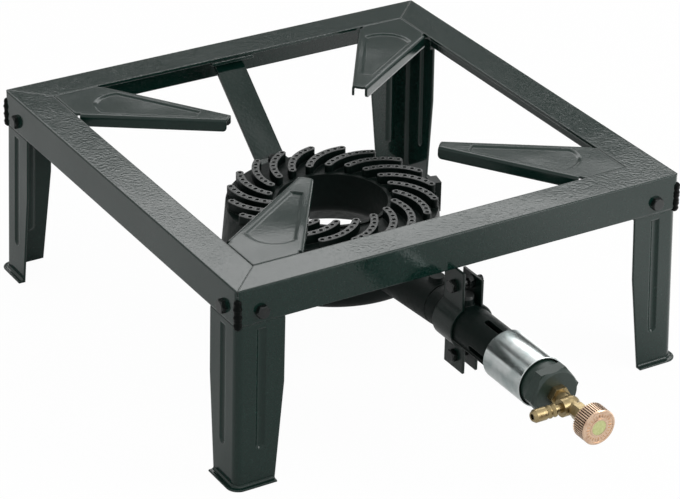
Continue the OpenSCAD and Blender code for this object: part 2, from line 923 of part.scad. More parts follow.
module tube_outside() {
  forward(tube_straight_at) cylinder(r = tube_r, h = tube_end_at - tube_straight_at);
  forward(tube_end_at - head_len) cylinder(r = head_r, h = head_len);
  tube_slope(tube_r + slope_step, tube_root_r, ring_r - ring_wall / 2);
  tube_boss(boss_at, boss_h);
  tube_boss(rear_boss_at, rear_boss_h);
  rib_from = clamp_at + clamp_w / 2 + fit_gap;
  for (side = [-1, 1])
    forward(rib_from) rotate([0, 0, side * (90 + mould_rib_drop) + 90])
      translate([0, -mould_rib / 2, 0])
        cube([tube_r + mould_rib, mould_rib, tube_end_at - head_len - rib_from]);
}

module air_windows() {
  back_at = tube_end_at - window_set_back - window_len;
  for (i = [0:window_count - 1])
    forward(back_at + window_w / 2) rotate([0, 0, 90 + window_turn + i * 360 / window_count]) {
      translate([0, -window_w / 2, 0]) cube([shutter_r, window_w, window_len - window_w]);
      for (end = [0, window_len - window_w])
        translate([0, 0, end]) rotate([0, 90, 0]) cylinder(r = window_w / 2, h = shutter_r);
    }
}

module burner_casting() {
  color(iron) placed() difference() {
    union() {
      ring_shell();
      vanes();
      ring_lugs();
      rear_ear();
      tube_outside();
    }
    rotate_extrude() ring_section(ring_wall);
    at_vanes() vane_ports();
    forward(tube_straight_at - over) cylinder(r = tube_bore_r, h = tube_end_at);
    tube_slope(tube_bore_r - slope_step, tube_root_r - ring_wall, ring_bore_r + 2 * ring_wall);
    air_windows();
  }
}

// REAR STRAP

// The strap's side view is a bar of even thickness along a route with mitred bends
strap_head_from = inner_half - strap_show;
strap_foot_z = ear_top_z + strap_t / 2;
strap_route = [
  [strap_head_from + strap_head_len - strap_t / 2, flange_under_z - strap_t / 2],
  [strap_bolt_at + head_af / 2 / cos(30) + strap_t / 2, strap_foot_z],
  [ring_r + strap_t, strap_foot_z]
];

function unit(v) = v / norm(v);
function side_of(v) = [-v[1], v[0]];

// Point beside the route's point i, half a thickness away on the side that s gives
function beside(i, s) =
  let (
    n = len(strap_route) - 1,
    before = side_of(unit(strap_route[max(i, 1)] - strap_route[max(i, 1) - 1])),
    after = side_of(unit(strap_route[min(i, n - 1) + 1] - strap_route[min(i, n - 1)]))
  )
  strap_route[i] + s * strap_t * (before + after) / (1 + before * after) / 2;

module strap_side_view() {
  last = len(strap_route) - 1;
  polygon(concat(
    [for (i = [0:last]) beside(i, 1)],
    [for (i = [last:-1:0]) beside(i, -1)]
  ));
}

module rear_strap() {
  color(enamel) placed() difference() {
    union() {
      translate([-strap_w / 2, 0, 0]) rotate([90, 0, 90]) linear_extrude(strap_w)
        strap_side_view();
      translate([-strap_head_w / 2, strap_head_from, flange_under_z - strap_t])
        cube([strap_head_w, strap_head_len, strap_t]);
    }
    translate([0, strap_bolt_at, ear_top_z - over])
      cylinder(r = bolt_r + hole_gap, h = strap_t + 2 * over);
  }
}

module strap_bolt() {
  color(black_zinc) placed() translate([0, strap_bolt_at, ear_top_z + strap_t]) rotate([180, 0, 0])
    bolt(strap_t + ear_t + nut_h + bolt_r / 2);
}

module strap_nut() {
  color(black_zinc) placed() translate([0, strap_bolt_at, ear_top_z - ear_t]) rotate([180, 0, 0]) nut();
}

// HANGER AND CLAMP

// Side view of the clamp's right half, x across and y up from the tube's axis
module clamp_section() {
  outer = clamp_ri + clamp_t;
  difference() {
    union() {
      intersection() {
        circle(outer);
        union() {
          translate([upper_half_gap, 0]) square(outer);
          translate([lower_half_gap, -outer]) square([outer, outer]);
        }
      }
      translate([upper_half_gap, 0]) square([clamp_t, upper_tab_h]);
      translate([lower_half_gap, -lower_tab_h]) square([clamp_t, lower_tab_h]);
    }
    circle(clamp_ri);
  }
}

// Drills along X from the middle out to the right, at a height above the tube's axis
module cross_hole(at, h, r) {
  translate([0, -at, tube_z + h]) rotate([0, 90, 0]) cylinder(r = r, h = hanger_x + clamp_t);
}

module clamp_band() {
  difference() {
    forward(clamp_at - clamp_w / 2) linear_extrude(clamp_w) clamp_section();
    cross_hole(clamp_at, clamp_bolt_h, bolt_r + hole_gap);
    cross_hole(clamp_at, -lower_bolt_h, bolt_r + hole_gap);
  }
}

module clamp_half() {
  color(enamel) placed() clamp_band();
}

// The hanger's upper plate, x forwards from the clamp's rear edge and y up from the axis
module hanger_outline() {
  rail_h = rail_low_z - tube_z - seat_gap;
  top_h = flange_under_z - tube_z;
  behind_rail = half_w - angle_t - (clamp_at - clamp_w / 2);
  polygon([
    [0, upper_tab_h - clamp_t],
    [clamp_w, upper_tab_h - clamp_t],
    [clamp_w, rail_h],
    [behind_rail, rail_h],
    [behind_rail, top_h - root_r],
    [behind_rail - root_r, top_h],
    [0, top_h]
  ]);
}

module tube_hanger() {
  flap_z = flange_under_z - root_r - flap_h;
  color(enamel) placed() {
    mirror([1, 0, 0]) clamp_band();
    translate([-hanger_x, -(clamp_at - clamp_w / 2), tube_z]) rotate([90, 0, 90])
      linear_extrude(clamp_t) mirror([1, 0, 0]) hanger_outline();
    translate([-upper_half_gap - flap_w, -half_w + angle_t, flap_z])
      cube([flap_w, clamp_t, flap_h]);
  }
}

module clamp_bolt() {
  color(black_zinc) placed() translate([-hanger_x, -clamp_at, tube_z + clamp_bolt_h])
    rotate([0, 90, 0]) bolt(2 * hanger_x + clamp_bolt_show);
}

module clamp_nut() {
  color(black_zinc) placed()
    translate([upper_half_gap - nut_h, -clamp_at, tube_z + clamp_bolt_h])
      rotate([0, 90, 0]) nut();
}

// The lower bolt and nut close the tabs under the tube
module lower_clamp_bolt() {
  reach = lower_half_gap + clamp_t;
  color(black_zinc) placed() translate([-reach, -clamp_at, tube_z - lower_bolt_h])
    rotate([0, 90, 0]) bolt(2 * reach + nut_h + bolt_r / 2);
}

module lower_clamp_nut() {
  color(black_zinc) placed()
    translate([lower_half_gap + clamp_t, -clamp_at, tube_z - lower_bolt_h])
      rotate([0, 90, 0]) nut();
}

// AIR SHUTTER AND INJECTOR

module air_shutter() {
  lip_round = shutter_t / 2;
  color(bright_zinc) placed() forward(tube_end_at + shutter_past_mouth - shutter_len)
    rotate_extrude() translate([shutter_r - shutter_t, 0]) {
      translate([0, lip_round]) square([shutter_t, shutter_len - 2 * lip_round]);
      for (end = [lip_round, shutter_len - lip_round])
        translate([lip_round, end]) circle(lip_round, $fn = 24);
    }
}

module injector_holder() {
  color(iron) placed() forward(tube_end_at) difference() {
    union() {
      translate([0, 0, -spigot_len]) cylinder(r = tube_bore_r - fit_gap, h = spigot_len + over);
      cylinder(r = collar_r, h = collar_len + over);
      translate([0, 0, collar_len]) rotate([0, 0, hex_turn])
        turned_hexagon(hex_af, hex_len, holder_chamfer_share);
    }
    translate([0, 0, -spigot_len - over])
      cylinder(r = stub_r + fit_gap, h = spigot_len + collar_len + hex_len + 2 * over);
  }
}

module gas_jet() {
  hex_h = jet_len / 3;
  color(brass) placed() forward(hex_end_at - stub_len - jet_len) difference() {
    union() {
      cylinder(r1 = jet_r / 2, r2 = jet_r, h = jet_len / 3);
      translate([0, 0, jet_len / 3]) cylinder(r = jet_r, h = jet_len / 3);
      translate([0, 0, jet_len - hex_h]) hexagon(2 * jet_r, hex_h);
    }
    translate([0, 0, -over]) cylinder(r = orifice_r, h = jet_len + 2 * over);
    translate([0, 0, jet_len / 4]) cylinder(r = seat_r, h = jet_len);
  }
}

// VALVE

spigot_r = valve_r - chamber_wall;

module valve_body() {
  color(brass) placed() difference() {
    union() {
      forward(hex_end_at - stub_len) cylinder(r = stub_r, h = stub_len + over);
      forward(hex_end_at) hexagon(valve_af, valve_hex_len);
      forward(valve_hex_end_at) cylinder(r = valve_r, h = valve_len - gland_lap);
      forward(valve_hex_end_at) cylinder(r = spigot_r, h = valve_len);
      translate([0, -tail_y_at, tube_z]) sphere(valve_ball_r);
      translate([0, -tail_y_at, tube_z]) rotate([0, -90, 0])
        cylinder(r = side_boss_r, h = side_boss_len);
    }
    forward(hex_end_at - stub_len - over)
      cylinder(r = seat_r, h = stub_len + valve_hex_len + valve_len);
    forward(seat_at) cylinder(r = chamber_r, h = valve_len);
    translate([0, -tail_y_at, tube_z]) rotate([0, -90, 0]) {
      cylinder(r = tail_bore_r, h = side_boss_len + over);
      translate([0, 0, valve_r - over / 2])
        cylinder(r = tail_stem_r + fit_gap, h = side_boss_len);
    }
  }
}

// Hose tail along +Z from the valve's side: stem, rising ridges and a smooth nose
module hose_tail() {
  root_at = valve_r - over / 2 + fit_gap;
  ridge_from = side_boss_len + tail_neck_len;
  nose_from = tail_reach - tail_nose_len;
  ridge_len = (nose_from - ridge_from) / tail_ridges;
  color(brass) placed() translate([0, -tail_y_at, tube_z]) rotate([0, -90, 0]) difference() {
    union() {
      translate([0, 0, root_at]) cylinder(r = tail_stem_r, h = nose_from - root_at);
      for (i = [0:tail_ridges - 1]) translate([0, 0, ridge_from + i * ridge_len]) {
        cylinder(r = tail_ridge_r, h = ridge_len * ridge_band_share);
        translate([0, 0, ridge_len * ridge_band_share])
          cylinder(r1 = tail_ridge_r, r2 = tail_stem_r, h = ridge_len * ridge_slope_share);
      }
      translate([0, 0, nose_from])
        cylinder(r = tail_ridge_r, h = tail_nose_len - tail_cone_len);
      translate([0, 0, tail_reach - tail_cone_len])
        cylinder(r1 = tail_ridge_r, r2 = tail_stem_r, h = tail_cone_len);
    }
    translate([0, 0, root_at - over]) cylinder(r = tail_bore_r, h = tail_reach);
  }
}

module gland_nut() {
  color(brass) placed() forward(valve_end_at - gland_lap) difference() {
    turned_hexagon(gland_af, gland_len);
    translate([0, 0, -over]) cylinder(r = spigot_r + fit_gap, h = gland_lap + over + seat_gap);
    cylinder(r = stem_r + run_gap, h = gland_len + over);
  }
}

// SPINDLE AND KNOB

seal_at = tail_y_at + tail_ridge_r + seal_d;
seal_groove_r = chamber_r - 2 * run_gap - seal_d;
seal_mid_r = (chamber_r + seal_groove_r) / 2;
// Spindle's end inside the knob, and depth of the recess for the disc
square_r = stem_r - 2 * run_gap;
disc_recess = disc_t + fit_gap;

module valve_spindle() {
  tip_len = seat_r * stem_r / (seat_r - run_gap);
  tip_at = seat_at - seat_r;
  color(brass) placed() difference() {
    union() {
      forward(tip_at) rotate_extrude() polygon([
        [0, 0],
        [stem_r, tip_len],
        [stem_r, knob_back_at - tip_at],
        [0, knob_back_at - tip_at]
      ]);
      forward(knob_back_at - over)
        cylinder(r = square_r, h = knob_hub_len + knob_len / 2 + over);
    }
    forward(seal_at - seal_d / 2 - run_gap) difference() {
      cylinder(r = chamber_r, h = seal_d + 2 * run_gap);
      cylinder(r = seal_groove_r, h = seal_d + 2 * run_gap);
    }
  }
}

module spindle_seal() {
  color(seal_black) placed() forward(seal_at) rotate_extrude() translate([seal_mid_r, 0])
    circle(seal_d / 2, $fn = 24);
}

module control_knob() {
  groove_w = PI * knob_r / rib_count;
  color(yellow_zinc) placed() forward(knob_back_at) difference() {
    union() {
      translate([0, 0, knob_hub_len]) difference() {
        union() {
          cylinder(r = knob_r, h = knob_len - face_bevel);
          translate([0, 0, knob_len - face_bevel])
            cylinder(r1 = knob_r, r2 = knob_r - face_bevel, h = face_bevel);
        }
        translate([0, 0, -over]) cylinder(r = knob_r - rim_wall, h = knob_len - face_t + over);
        for (i = [0:rib_count - 1]) rotate(i * 360 / rib_count)
          translate([knob_r - rib_depth, -groove_w / 2, -over])
            cube([rib_depth + over, groove_w, knob_len - plain_rim_len + over]);
        translate([0, 0, knob_len - dish_depth]) difference() {
          cylinder(r = knob_r - face_bevel - dish_margin, h = over);
          translate([0, 0, -over]) cylinder(r = disc_r + dish_margin, h = 3 * over);
        }
      }
      cylinder(r = knob_hub_r, h = knob_hub_len + knob_len - over);
    }
    translate([0, 0, -over])
      cylinder(r = square_r + run_gap, h = knob_hub_len + knob_len / 2 + over + seat_gap);
    translate([0, 0, knob_hub_len + knob_len - disc_recess])
      cylinder(r = disc_r + fit_gap, h = disc_recess + over);
  }
}

module knob_disc() {
  color(disc_green) placed() forward(knob_face_at - disc_recess) cylinder(r = disc_r, h = disc_t);
}

front_rail();
right_rail();
back_rail();
left_rail();
pot_support_front_left();
pot_support_front_right();
pot_support_back_right();
pot_support_back_left();
leg_front_left();
leg_front_right();
leg_back_right();
leg_back_left();
leg_bolts();
leg_nuts();
burner_casting();
rear_strap();
strap_bolt();
strap_nut();
tube_hanger();
clamp_half();
clamp_bolt();
clamp_nut();
lower_clamp_bolt();
lower_clamp_nut();
air_shutter();
injector_holder();
gas_jet();
valve_body();
hose_tail();
gland_nut();
valve_spindle();
spindle_seal();
control_knob();
knob_disc();
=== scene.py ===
"""Stock pot range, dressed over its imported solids.

A cast-iron ring burner hangs in a square stand of enamelled angle iron on four
pressed legs. A mixing tube runs forwards to an air shutter, an injector holder,
a brass valve and a ribbed knob. All lengths are metres, in the solids' frame.
"""

import logging
import math
from collections.abc import Iterable
from dataclasses import dataclass
from enum import Enum
from functools import cache

import bmesh
import bpy
from mathutils import Matrix, Vector


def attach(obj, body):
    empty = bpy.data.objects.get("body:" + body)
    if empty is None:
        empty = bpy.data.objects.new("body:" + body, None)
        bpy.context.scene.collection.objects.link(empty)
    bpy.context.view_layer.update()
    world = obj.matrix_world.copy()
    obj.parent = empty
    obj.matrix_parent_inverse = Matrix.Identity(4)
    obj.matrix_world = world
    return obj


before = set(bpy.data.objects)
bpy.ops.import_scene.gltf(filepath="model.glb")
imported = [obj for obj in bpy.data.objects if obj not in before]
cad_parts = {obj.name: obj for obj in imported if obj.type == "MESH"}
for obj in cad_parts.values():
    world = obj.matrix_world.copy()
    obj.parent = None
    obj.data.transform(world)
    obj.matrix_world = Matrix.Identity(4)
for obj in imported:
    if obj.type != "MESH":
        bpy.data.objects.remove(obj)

LOG = logging.getLogger("stock_pot_range")
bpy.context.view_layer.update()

# The ring's axis stands at this Y, and the mixing tube's axis at this height.
RING_Y = 0.0859035
TUBE_Z = 0.0895

Colour = tuple[float, float, float, float]
Point = tuple[float, float, float]
Pair = tuple[float, float]
Feed = float | tuple[float, ...] | bpy.types.NodeSocket


class Body(Enum):
    """The bodies that new pieces ride on."""

    STAND = "stand"
    KNOB = "knob"


def grey(level: float) -> Colour:
    """Neutral linear colour of one level.

    Args:
        level: the value of each channel.

    Returns:
        The opaque colour.
    """
    return (level, level, level, 1.0)


class Graph:
    """A node tree being filled: adds nodes in a row and joins their sockets."""

    spacing = 170.0

    def __init__(self, tree: bpy.types.NodeTree) -> None:
        """Keeps the tree that the nodes go into.

        Args:
            tree: the tree to fill.
        """
        self.tree = tree
        self.count = 0

    @classmethod
    def fresh(cls, owner: bpy.types.Material | bpy.types.World) -> "Graph":
        """Empties the node tree of a material or a world.

        Args:
            owner: the material or world.

        Returns:
            A graph to fill its tree anew.
        """
        owner.use_nodes = True
        owner.node_tree.nodes.clear()
        return cls(owner.node_tree)

    def add(
        self, kind: str, feeds: dict[str | int, Feed] | None = None, **settings: object
    ) -> bpy.types.Node:
        """Adds one node.

        Args:
            kind: Blender's type name of the node.
            feeds: values or sockets for its inputs, by name or index.
            **settings: attributes of the node itself.

        Returns:
            The new node.
        """
        node = self.tree.nodes.new(kind)
        node.location = (self.spacing * self.count, 0.0)
        self.count += 1
        for name, value in settings.items():
            setattr(node, name, value)
        self.fill(node, feeds or {})
        return node

    def fill(self, node: bpy.types.Node, feeds: dict[str | int, Feed]) -> None:
        """Links sockets to a node's inputs, or sets the inputs' own values.

        Args:
            node: the node to feed.
            feeds: values or sockets for its inputs, by name or index.
        """
        for key, value in feeds.items():
            if isinstance(value, bpy.types.NodeSocket):
                self.tree.links.new(value, node.inputs[key])
            else:
                node.inputs[key].default_value = value

    def maths(self, operation: str, first: Feed, second: Feed = 0.0) -> bpy.types.NodeSocket:
        """Adds one arithmetic node.

        Args:
            operation: Blender's name of the operation.
            first: its first value.
            second: its second value, if it takes one.

        Returns:
            The result's socket.
        """
        return self.add("ShaderNodeMath", {0: first, 1: second}, operation=operation).outputs[0]

    def weigh(self, *parts: tuple[Feed, float]) -> bpy.types.NodeSocket:
        """Adds up values, each times its own weight.

        Args:
            *parts: pairs of a value and its weight.

        Returns:
            The sum's socket.
        """
        total, *others = (self.maths("MULTIPLY", value, weight) for value, weight in parts)
        for other in others:
            total = self.maths("ADD", total, other)
        return total

    def radius(self, across: Feed, along: Feed) -> bpy.types.NodeSocket:
        """Distance from an axis.

        Args:
            across: offset from the axis one way.
            along: offset from it at right angles.

        Returns:
            The distance's socket.
        """
        square = self.maths("ADD", self.maths("POWER", across, 2.0), self.maths("POWER", along, 2.0))
        return self.maths("SQRT", square)

    def spread(
        self, value: Feed, low: Feed, high: Feed, start: float = 0.0, end: float = 1.0
    ) -> bpy.types.NodeSocket:
        """Maps a value from low..high to start..end, smoothly and clamped.

        Args:
            value: the value to map.
            low: the value that gives start.
            high: the value that gives end.
            start: result at and below low.
            end: result at and above high.

        Returns:
            The mapped value's socket.
        """
        feeds = {"Value": value, "From Min": low, "From Max": high, "To Min": start, "To Max": end}
        node = self.add("ShaderNodeMapRange", feeds, interpolation_type="SMOOTHSTEP", clamp=True)
        return node.outputs["Result"]

    def tint(self, share: Feed, first: Feed, second: Feed) -> bpy.types.NodeSocket:
        """Mixes two colours.

        Args:
            share: 0 for the first colour, 1 for the second.
            first: one colour.
            second: the other.

        Returns:
            The mixed colour's socket.
        """
        feeds = {0: share, 6: first, 7: second}
        return self.add("ShaderNodeMix", feeds, data_type="RGBA", blend_type="MIX").outputs[2]

    def noise(
        self, place: Feed, scale: Feed, detail: Feed = 2.0, rough: float = 0.5
    ) -> bpy.types.NodeSocket:
        """Adds fractal noise.

        Args:
            place: coordinates to take it at.
            scale: waves to the metre.
            detail: number of finer octaves.
            rough: how strong each finer octave is.

        Returns:
            The socket of a value from 0 to 1 about 0.5.
        """
        feeds = {"Vector": place, "Scale": scale, "Detail": detail, "Roughness": rough}
        return self.add("ShaderNodeTexNoise", feeds).outputs[0]

    def place(self) -> bpy.types.NodeSocket:
        """The point's coordinates on its own object."""
        return self.add("ShaderNodeTexCoord").outputs["Object"]

    def axes(self) -> bpy.types.bpy_prop_collection:
        """The point's X, Y and Z on its own object, by name."""
        return self.add("ShaderNodeSeparateXYZ", {0: self.place()}).outputs


class Effect:
    """Shader node groups that several finishes share, each made when first asked for."""

    midway: Pair = (0.35, 0.65)
    worn_glint_turn: Pair = (0.01, 0.16)
    worn_glint_scale = 900.0
    pimple_finer = 4.0
    pimple_share = 0.35
    pit_finer = 0.45
    pit_reach: Pair = (0.05, 0.45)
    swell_finer = 0.12
    swell_levels: Pair = (0.3, 0.7)
    grain_levels: Pair = (0.25, 0.75)

    @staticmethod
    def start(
        name: str, inputs: dict[str, float], outputs: tuple[str, ...]
    ) -> tuple[bpy.types.NodeTree, Graph, bpy.types.bpy_prop_collection]:
        """Starts a group with its sockets.

        Args:
            name: the group's name.
            inputs: number inputs with their defaults.
            outputs: names of the outputs; Normal is a vector, the others are numbers.

        Returns:
            The tree, a graph to fill it and the values given to the group.
        """
        tree = bpy.data.node_groups.new(name, "ShaderNodeTree")
        for label, value in inputs.items():
            socket = tree.interface.new_socket(label, in_out="INPUT", socket_type="NodeSocketFloat")
            socket.default_value = value
        for label in outputs:
            kind = "NodeSocketVector" if label == "Normal" else "NodeSocketFloat"
            tree.interface.new_socket(label, in_out="OUTPUT", socket_type=kind)
        graph = Graph(tree)
        return tree, graph, graph.add("NodeGroupInput").outputs

    @staticmethod
    @cache
    def soft_edge() -> bpy.types.NodeTree:
        """Rounded normal at edges, and a mask of the pale edges: scuffed paint with a painted
        highlight.

        Returns:
            The group's node tree.
        """
        tree, graph, given = Effect.start("soft_edge", {"Radius": 0.0006}, ("Normal", "WornGlint"))
        bevel = graph.add("ShaderNodeBevel", {"Radius": given["Radius"]}, samples=6).outputs[0]
        plain = graph.add("ShaderNodeNewGeometry").outputs["Normal"]
        facing = graph.add("ShaderNodeVectorMath", {0: bevel, 1: plain}, operation="DOT_PRODUCT")
        turned = graph.maths("SUBTRACT", 1.0, facing.outputs["Value"])
        # Pale edges: partly scuffed paint, partly a painted highlight where an edge catches the
        # light; noise breaks the mask up.
        rubbed_glint = graph.noise(graph.place(), Effect.worn_glint_scale, 3.0)
        rubbed_glint = graph.spread(rubbed_glint, *Effect.midway)
        worn_glint = graph.maths("MULTIPLY", graph.spread(turned, *Effect.worn_glint_turn), rubbed_glint)
        graph.add("NodeGroupOutput", {"Normal": bevel, "WornGlint": worn_glint})
        return tree

    @staticmethod
    @cache
    def mottle() -> bpy.types.NodeTree:
        """Blotches: a smooth mask of noise between two levels.

        Returns:
            The group's node tree.
        """
        inputs = {"Scale": 300.0, "Detail": 3.0, "Low": 0.4, "High": 0.6}
        tree, graph, given = Effect.start("mottle", inputs, ("Mask",))
        cloud = graph.noise(graph.place(), given["Scale"], given["Detail"])
        graph.add("NodeGroupOutput", {"Mask": graph.spread(cloud, given["Low"], given["High"])})
        return tree

    @staticmethod
    @cache
    def peel() -> bpy.types.NodeTree:
        """Height of a sprayed and fired coat: broad waves with fine pimples.

        Returns:
            The group's node tree.
        """
        tree, graph, given = Effect.start("peel", {"Scale": 420.0}, ("Height",))
        place = graph.place()
        wave = graph.noise(place, given["Scale"], 1.0)
        finer = graph.maths("MULTIPLY", given["Scale"], Effect.pimple_finer)
        pimples = graph.maths("MULTIPLY", graph.noise(place, finer, 2.0), Effect.pimple_share)
        total = graph.maths("ADD", wave, pimples)
        graph.add("NodeGroupOutput", {"Height": total})
        return tree

    @staticmethod
    @cache
    def cast_skin() -> bpy.types.NodeTree:
        """Sand-cast skin: grain height, pits and an uneven tone.

        Returns:
            The group's node tree.
        """
        tree, graph, given = Effect.start("cast_skin", {"Scale": 1500.0}, ("Height", "Tone"))
        scale = given["Scale"]
        place = graph.place()
        grain = graph.noise(place, scale, 4.0, 0.65)
        coarse = graph.maths("MULTIPLY", scale, Effect.pit_finer)
        cells = graph.add("ShaderNodeTexVoronoi", {"Vector": place, "Scale": coarse})
        pits = graph.spread(cells.outputs["Distance"], *Effect.pit_reach)
        swell = graph.noise(place, graph.maths("MULTIPLY", scale, Effect.swell_finer), 2.0)
        height = graph.weigh((grain, 0.6), (pits, 0.25), (swell, 0.9))
        patches = graph.spread(swell, *Effect.swell_levels)
        tone = graph.maths("MULTIPLY", patches, graph.spread(grain, *Effect.grain_levels))
        graph.add("NodeGroupOutput", {"Height": height, "Tone": tone})
        return tree

    @staticmethod
    @cache
    def lathe_marks() -> bpy.types.NodeTree:
        """Fine rings left by a turning tool about the tube's axis.

        Returns:
            The group's node tree.
        """
        tree, graph, given = Effect.start("lathe_marks", {"Pitch": 6000.0}, ("Height", "Tone"))
        axes = graph.axes()
        radial = graph.radius(axes["X"], graph.maths("SUBTRACT", axes["Z"], TUBE_Z))
        place = graph.add("ShaderNodeCombineXYZ", {"X": radial, "Y": axes["Y"]}).outputs[0]
        rings = graph.noise(place, given["Pitch"], 2.0, 0.6)
        broader = graph.maths("MULTIPLY", given["Pitch"], Effect.swell_finer)
        broad = graph.noise(place, broader, 1.0)
        tone = graph.maths("MULTIPLY", rings, broad)
        graph.add("NodeGroupOutput", {"Height": rings, "Tone": tone})
        return tree


@dataclass(frozen=True)
class Blotches:
    """How fine a mask of blotches is, and the noise levels where it starts and ends."""

    scale: float
    detail: float
    low: float
    high: float


@dataclass(frozen=True)
class Finish:
    """A surface finish that can make its own Blender material."""

    name: str
    base: Colour
    metallic: float = 0.0
    ior: float = 1.5
    specular: float = 0.5

    def start(self) -> tuple[bpy.types.Material, Graph, bpy.types.Node]:
        """Starts the material.

        Returns:
            The material, a graph for its nodes and its main shader.
        """
        material = bpy.data.materials.new(self.name)
        graph = Graph.fresh(material)
        feeds = {"Base Color": self.base, "Metallic": self.metallic, "IOR": self.ior}
        shader = graph.add("ShaderNodeBsdfPrincipled", {**feeds, "Specular IOR Level": self.specular})
        graph.add("ShaderNodeOutputMaterial", {"Surface": shader.outputs[0]})
        return material, graph, shader

    def group(
        self, graph: Graph, tree: bpy.types.NodeTree, **values: float
    ) -> bpy.types.bpy_prop_collection:
        """Adds a shared effect and gives its outputs.

        Args:
            graph: the material's graph.
            tree: the effect's node group.
            **values: numbers for the group's inputs.

        Returns:
            The outputs of the group's node.
        """
        return graph.add("ShaderNodeGroup", values, node_tree=tree).outputs

    def mask(self, graph: Graph, blotches: Blotches) -> bpy.types.NodeSocket:
        """Adds a mask of blotches.

        Args:
            graph: the material's graph.
            blotches: what the blotches are like.

        Returns:
            The mask's socket.
        """
        return self.group(
            graph, Effect.mottle(), Scale=blotches.scale, Detail=blotches.detail,
            Low=blotches.low, High=blotches.high,
        )["Mask"]

    def emboss(
        self, graph: Graph, height: Feed, depth: float, normal: Feed
    ) -> bpy.types.NodeSocket:
        """Lays a relief over a normal.

        Args:
            graph: the material's graph.
            height: relief from 0 to 1.
            depth: depth of the relief in metres.
            normal: the normal beneath.

        Returns:
            The new normal's socket.
        """
        feeds = {"Height": height, "Distance": depth, "Strength": 1.0, "Normal": normal}
        return graph.add("ShaderNodeBump", feeds).outputs[0]

    def build(self) -> bpy.types.Material:
        """Makes the material; each kind of finish has its own way."""
        raise NotImplementedError


@dataclass(frozen=True)
class Enamel(Finish):
    """Dark glossy enamel: pale flecks, pale upper edges that are scuffed paint with a painted
    highlight, pits and orange peel.

    The sway is the slow waviness of rolled sheet. The droop bends a sheet's
    normal as if its tip, which is held at one end only, hung a little low.
    """

    fleck: Colour = (0.014, 0.034, 0.028, 1.0)
    fleck_share: float = 0.6
    dust_share: float = 0.25
    # Colour of the pale upper edges: scuffed paint with a painted highlight.
    bare_glint: Colour = (0.34, 0.36, 0.35, 1.0)
    bare_glint_share: float = 0.5
    worn_glint_between: Pair = (0.145, 0.160)
    gloss_low: float = 0.06
    gloss_high: float = 0.15
    peel_scale: float = 400.0
    relief: float = 0.00006
    thin_coat: float = 0.25
    thick_scale: float = 9.0
    sway: float = 0.0004
    sway_scale: float = 14.0
    droop: float = 0.0
    droop_between: Pair = (0.10, 0.25)
    edge_radius: float = 0.0014
    flecks: Blotches = Blotches(1900.0, 2.0, 0.60, 0.74)
    clouds: Blotches = Blotches(24.0, 4.0, 0.30, 0.70)
    dust: Blotches = Blotches(260.0, 5.0, 0.50, 0.80)

    def build(self) -> bpy.types.Material:
        """Makes the enamel's material.

        Returns:
            The material.
        """
        material, graph, shader = self.start()
        edge = self.group(graph, Effect.soft_edge(), Radius=self.edge_radius)
        flecks = self.mask(graph, self.flecks)
        clouds = self.mask(graph, self.clouds)
        dust = self.mask(graph, self.dust)
        colour = graph.tint(graph.maths("MULTIPLY", flecks, self.fleck_share), self.base, self.fleck)
        colour = graph.tint(graph.maths("MULTIPLY", dust, self.dust_share), colour, self.fleck)
        # Painted highlight with scuffed paint, only on edges high up on the frame where the light
        # falls.
        rubbed_glint = graph.spread(graph.axes()["Z"], *self.worn_glint_between, 0.0, self.bare_glint_share)
        colour = graph.tint(graph.maths("MULTIPLY", edge["WornGlint"], rubbed_glint), colour, self.bare_glint)
        uneven = graph.weigh((clouds, 0.4), (dust, 0.2), (flecks, 0.5))
        rough = graph.spread(uneven, 0.0, 1.0, self.gloss_low, self.gloss_high)
        bowed = self.bow(graph, edge["Normal"])
        coat = graph.noise(graph.place(), self.thick_scale, 2.0)
        coat = graph.spread(coat, *Effect.midway, self.thin_coat, 1.0)
        peel = self.group(graph, Effect.peel(), Scale=self.peel_scale)["Height"]
        pits = graph.weigh((flecks, 0.5), (dust, 0.3))
        height = graph.maths("SUBTRACT", graph.maths("MULTIPLY", peel, coat), pits)
        normal = self.emboss(graph, height, self.relief, bowed)
        graph.fill(shader, {"Base Color": colour, "Roughness": rough, "Normal": normal})
        return material

    def bow(self, graph: Graph, normal: bpy.types.NodeSocket) -> bpy.types.NodeSocket:
        """Bends the normal as the sheet beneath the enamel bends.

        Args:
            graph: the material's graph.
            normal: the normal beneath.

        Returns:
            The bent normal's socket.
        """
        wave = graph.noise(graph.place(), self.sway_scale, 1.0)
        normal = self.emboss(graph, wave, self.sway, normal)
        if not self.droop:
            return normal
        axes = graph.axes()
        away = graph.radius(axes["X"], graph.maths("SUBTRACT", axes["Y"], RING_Y))
        inward = graph.spread(away, *self.droop_between, 1.0, 0.0)
        sag = graph.maths("MULTIPLY", graph.maths("POWER", inward, 2.0), -1.0)
        return self.emboss(graph, sag, self.droop, normal)


